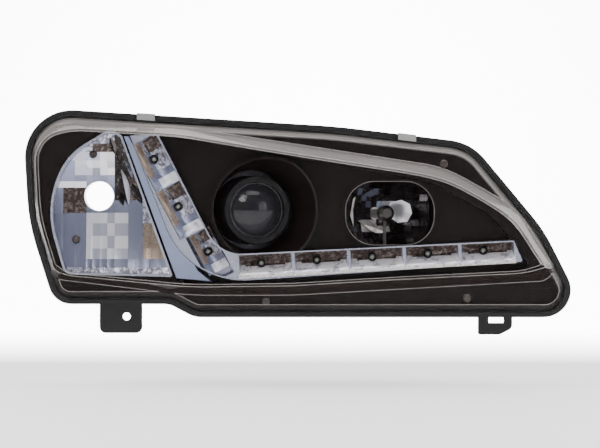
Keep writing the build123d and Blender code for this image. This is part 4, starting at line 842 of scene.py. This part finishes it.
# %% [markdown]
# A chrome dish shows what stands round it, so the room must not be all one white. This one is bright
# above and behind the lamp and darker towards the viewer. A narrow extra glow straight behind the lamp
# makes the backdrop white without lighting the lamp much.

# %% Room
ROOM_GLOW, BACKDROP_GLOW, WHITE_GLOW = 1.3, 3.0, 9.0
BACKDROP_POWER, WHITE_POWER = 3.0, 40.0  # the higher, the narrower the glow
REAR_SHARE, REAR_CURVE = 0.85, 1.5       # how much of the room's light comes from behind, and from above
ABOVE_SHARE, ABOVE_CURVE = 0.45, 2.0
world = bpy.data.worlds.new("room")
bpy.context.scene.world = world
world.use_nodes = True
world.node_tree.nodes.clear()
ray = Sock(world.node_tree).make("ShaderNodeTexCoord", out="Generated")
behind = ray.make("ShaderNodeSeparateXYZ", out="Y", Vector=ray)
above = ray.make("ShaderNodeSeparateXYZ", out="Z", Vector=ray)
rear_light = (behind * 0.5 + 0.5) ** REAR_CURVE * REAR_SHARE
glow = (rear_light + (above * 0.5 + 0.5) ** ABOVE_CURVE * ABOVE_SHARE).clamp()
sky = glow.make("ShaderNodeValToRGB", {"stops": [(0.0, (0.05, 0.045, 0.045)), (0.45, (0.30, 0.30, 0.33)),
                                                 (0.85, (1.0, 1.0, 1.0))]}, Fac=glow)
straight = behind.clamp()
power = ROOM_GLOW + BACKDROP_GLOW * straight ** BACKDROP_POWER + WHITE_GLOW * straight ** WHITE_POWER
light = sky.make("ShaderNodeBackground", Color=sky, Strength=power)
light.make("ShaderNodeOutputWorld", Surface=light)
print("room ready")

# %% [markdown]
# The floor is one large sheet of pale paper, five centimetres below the lamp. In a studio the paper is
# bent up behind the object to hide the horizon. Here a soft glow that grows behind the lamp does the
# same work, and the paper stays flat.

# %% Floor
FLOOR_DROP, FLOOR_REACH = 0.05, 6.0
GLOW_START, GLOW_RUN = 0.5, 1.0  # where the paper begins to brighten, and over what length
PAPER_GLOW, PAPER_NEAR = 11.0, 0.052
low, high = (Vector(c) for c in cad_box)
middle = (low + high) / 2
floor_z = low.z - FLOOR_DROP
floor_mesh = bpy.data.meshes.new("floor")
ways = ((-1, -1), (1, -1), (1, 1), (-1, 1))
paper_corners = [(x * FLOOR_REACH, y * FLOOR_REACH, floor_z) for x, y in ways]
floor_mesh.from_pydata(paper_corners, [], [(0, 1, 2, 3)])
floor = bpy.data.objects.new("floor", floor_mesh)
bpy.context.collection.objects.link(floor)
place = start("pale_floor")
rearward = place.make("ShaderNodeSeparateXYZ", out="Y", Vector=place)
brighter = ((rearward - GLOW_START) * (1 / GLOW_RUN)).clamp()
finish(place, noise(place, 40.0), strength=0.02, distance=0.001, Roughness=0.8, Emission_Strength=PAPER_GLOW,
       Base_Color=noise(place, 3.0).mix((0.90, 0.90, 0.90), (0.94, 0.94, 0.94)),
       Emission_Color=brighter.mix((PAPER_NEAR,) * 3, (1, 1, 1)))
floor_mesh.materials.append(finishes["pale_floor"])
print("floor at", round(floor_z, 3))

# %% [markdown]
# Three square area lights give soft edges: a warm key from the upper left, a cooler and weaker fill from
# the right, and one above. Their colours differ a little, so the facets of a dish take on both tints.

# %% Soft lights
def area(name, place, aim, size, power, colour=(1, 1, 1)):
    data = bpy.data.lights.new(name, "AREA")
    data.shape, data.size, data.energy, data.color = "SQUARE", size, power, colour
    lamp = bpy.data.objects.new(name, data)
    lamp.location = place
    lamp.rotation_euler = (Vector(aim) - Vector(place)).to_track_quat("-Z", "Y").to_euler()
    bpy.context.collection.objects.link(lamp)
    print(name, "light", power, "W")


area("key", (-0.7, -1.1, 1.3), middle, 0.7, 14.0, (1.0, 0.98, 0.95))
area("fill", (1.3, -1.2, 0.5), middle, 0.9, 6.0, (0.94, 0.96, 1.0))
area("top", (0.2, -0.25, 1.2), middle, 0.8, 8.0)

# %% [markdown]
# The camera looks straight at the lens rim from three metres away. So far off, a long lens is needed to
# fill the frame, and the two together keep the outline flat, as a catalogue picture does. The focal
# length is worked out from how much width the frame has to hold at the rim.

# %% Camera
FRAME_WIDTH, DISTANCE = 0.570, 3.0
ASIDE, DOWN = 0.002, 0.001  # a small step off the lamp's middle centres its outline
camera_data = bpy.data.cameras.new("camera")
camera = bpy.data.objects.new("camera", camera_data)
bpy.context.collection.objects.link(camera)
camera.location = (middle.x + ASIDE, -DISTANCE, middle.z - DOWN)
camera.rotation_euler = (math.radians(90), 0, 0)
camera_data.lens = camera_data.sensor_width * (DISTANCE + RIM_Y) / FRAME_WIDTH
camera_data.dof.use_dof = False
bpy.context.scene.camera = camera
print("camera lens", round(camera_data.lens, 1), "mm, middle", tuple(round(v, 4) for v in middle))
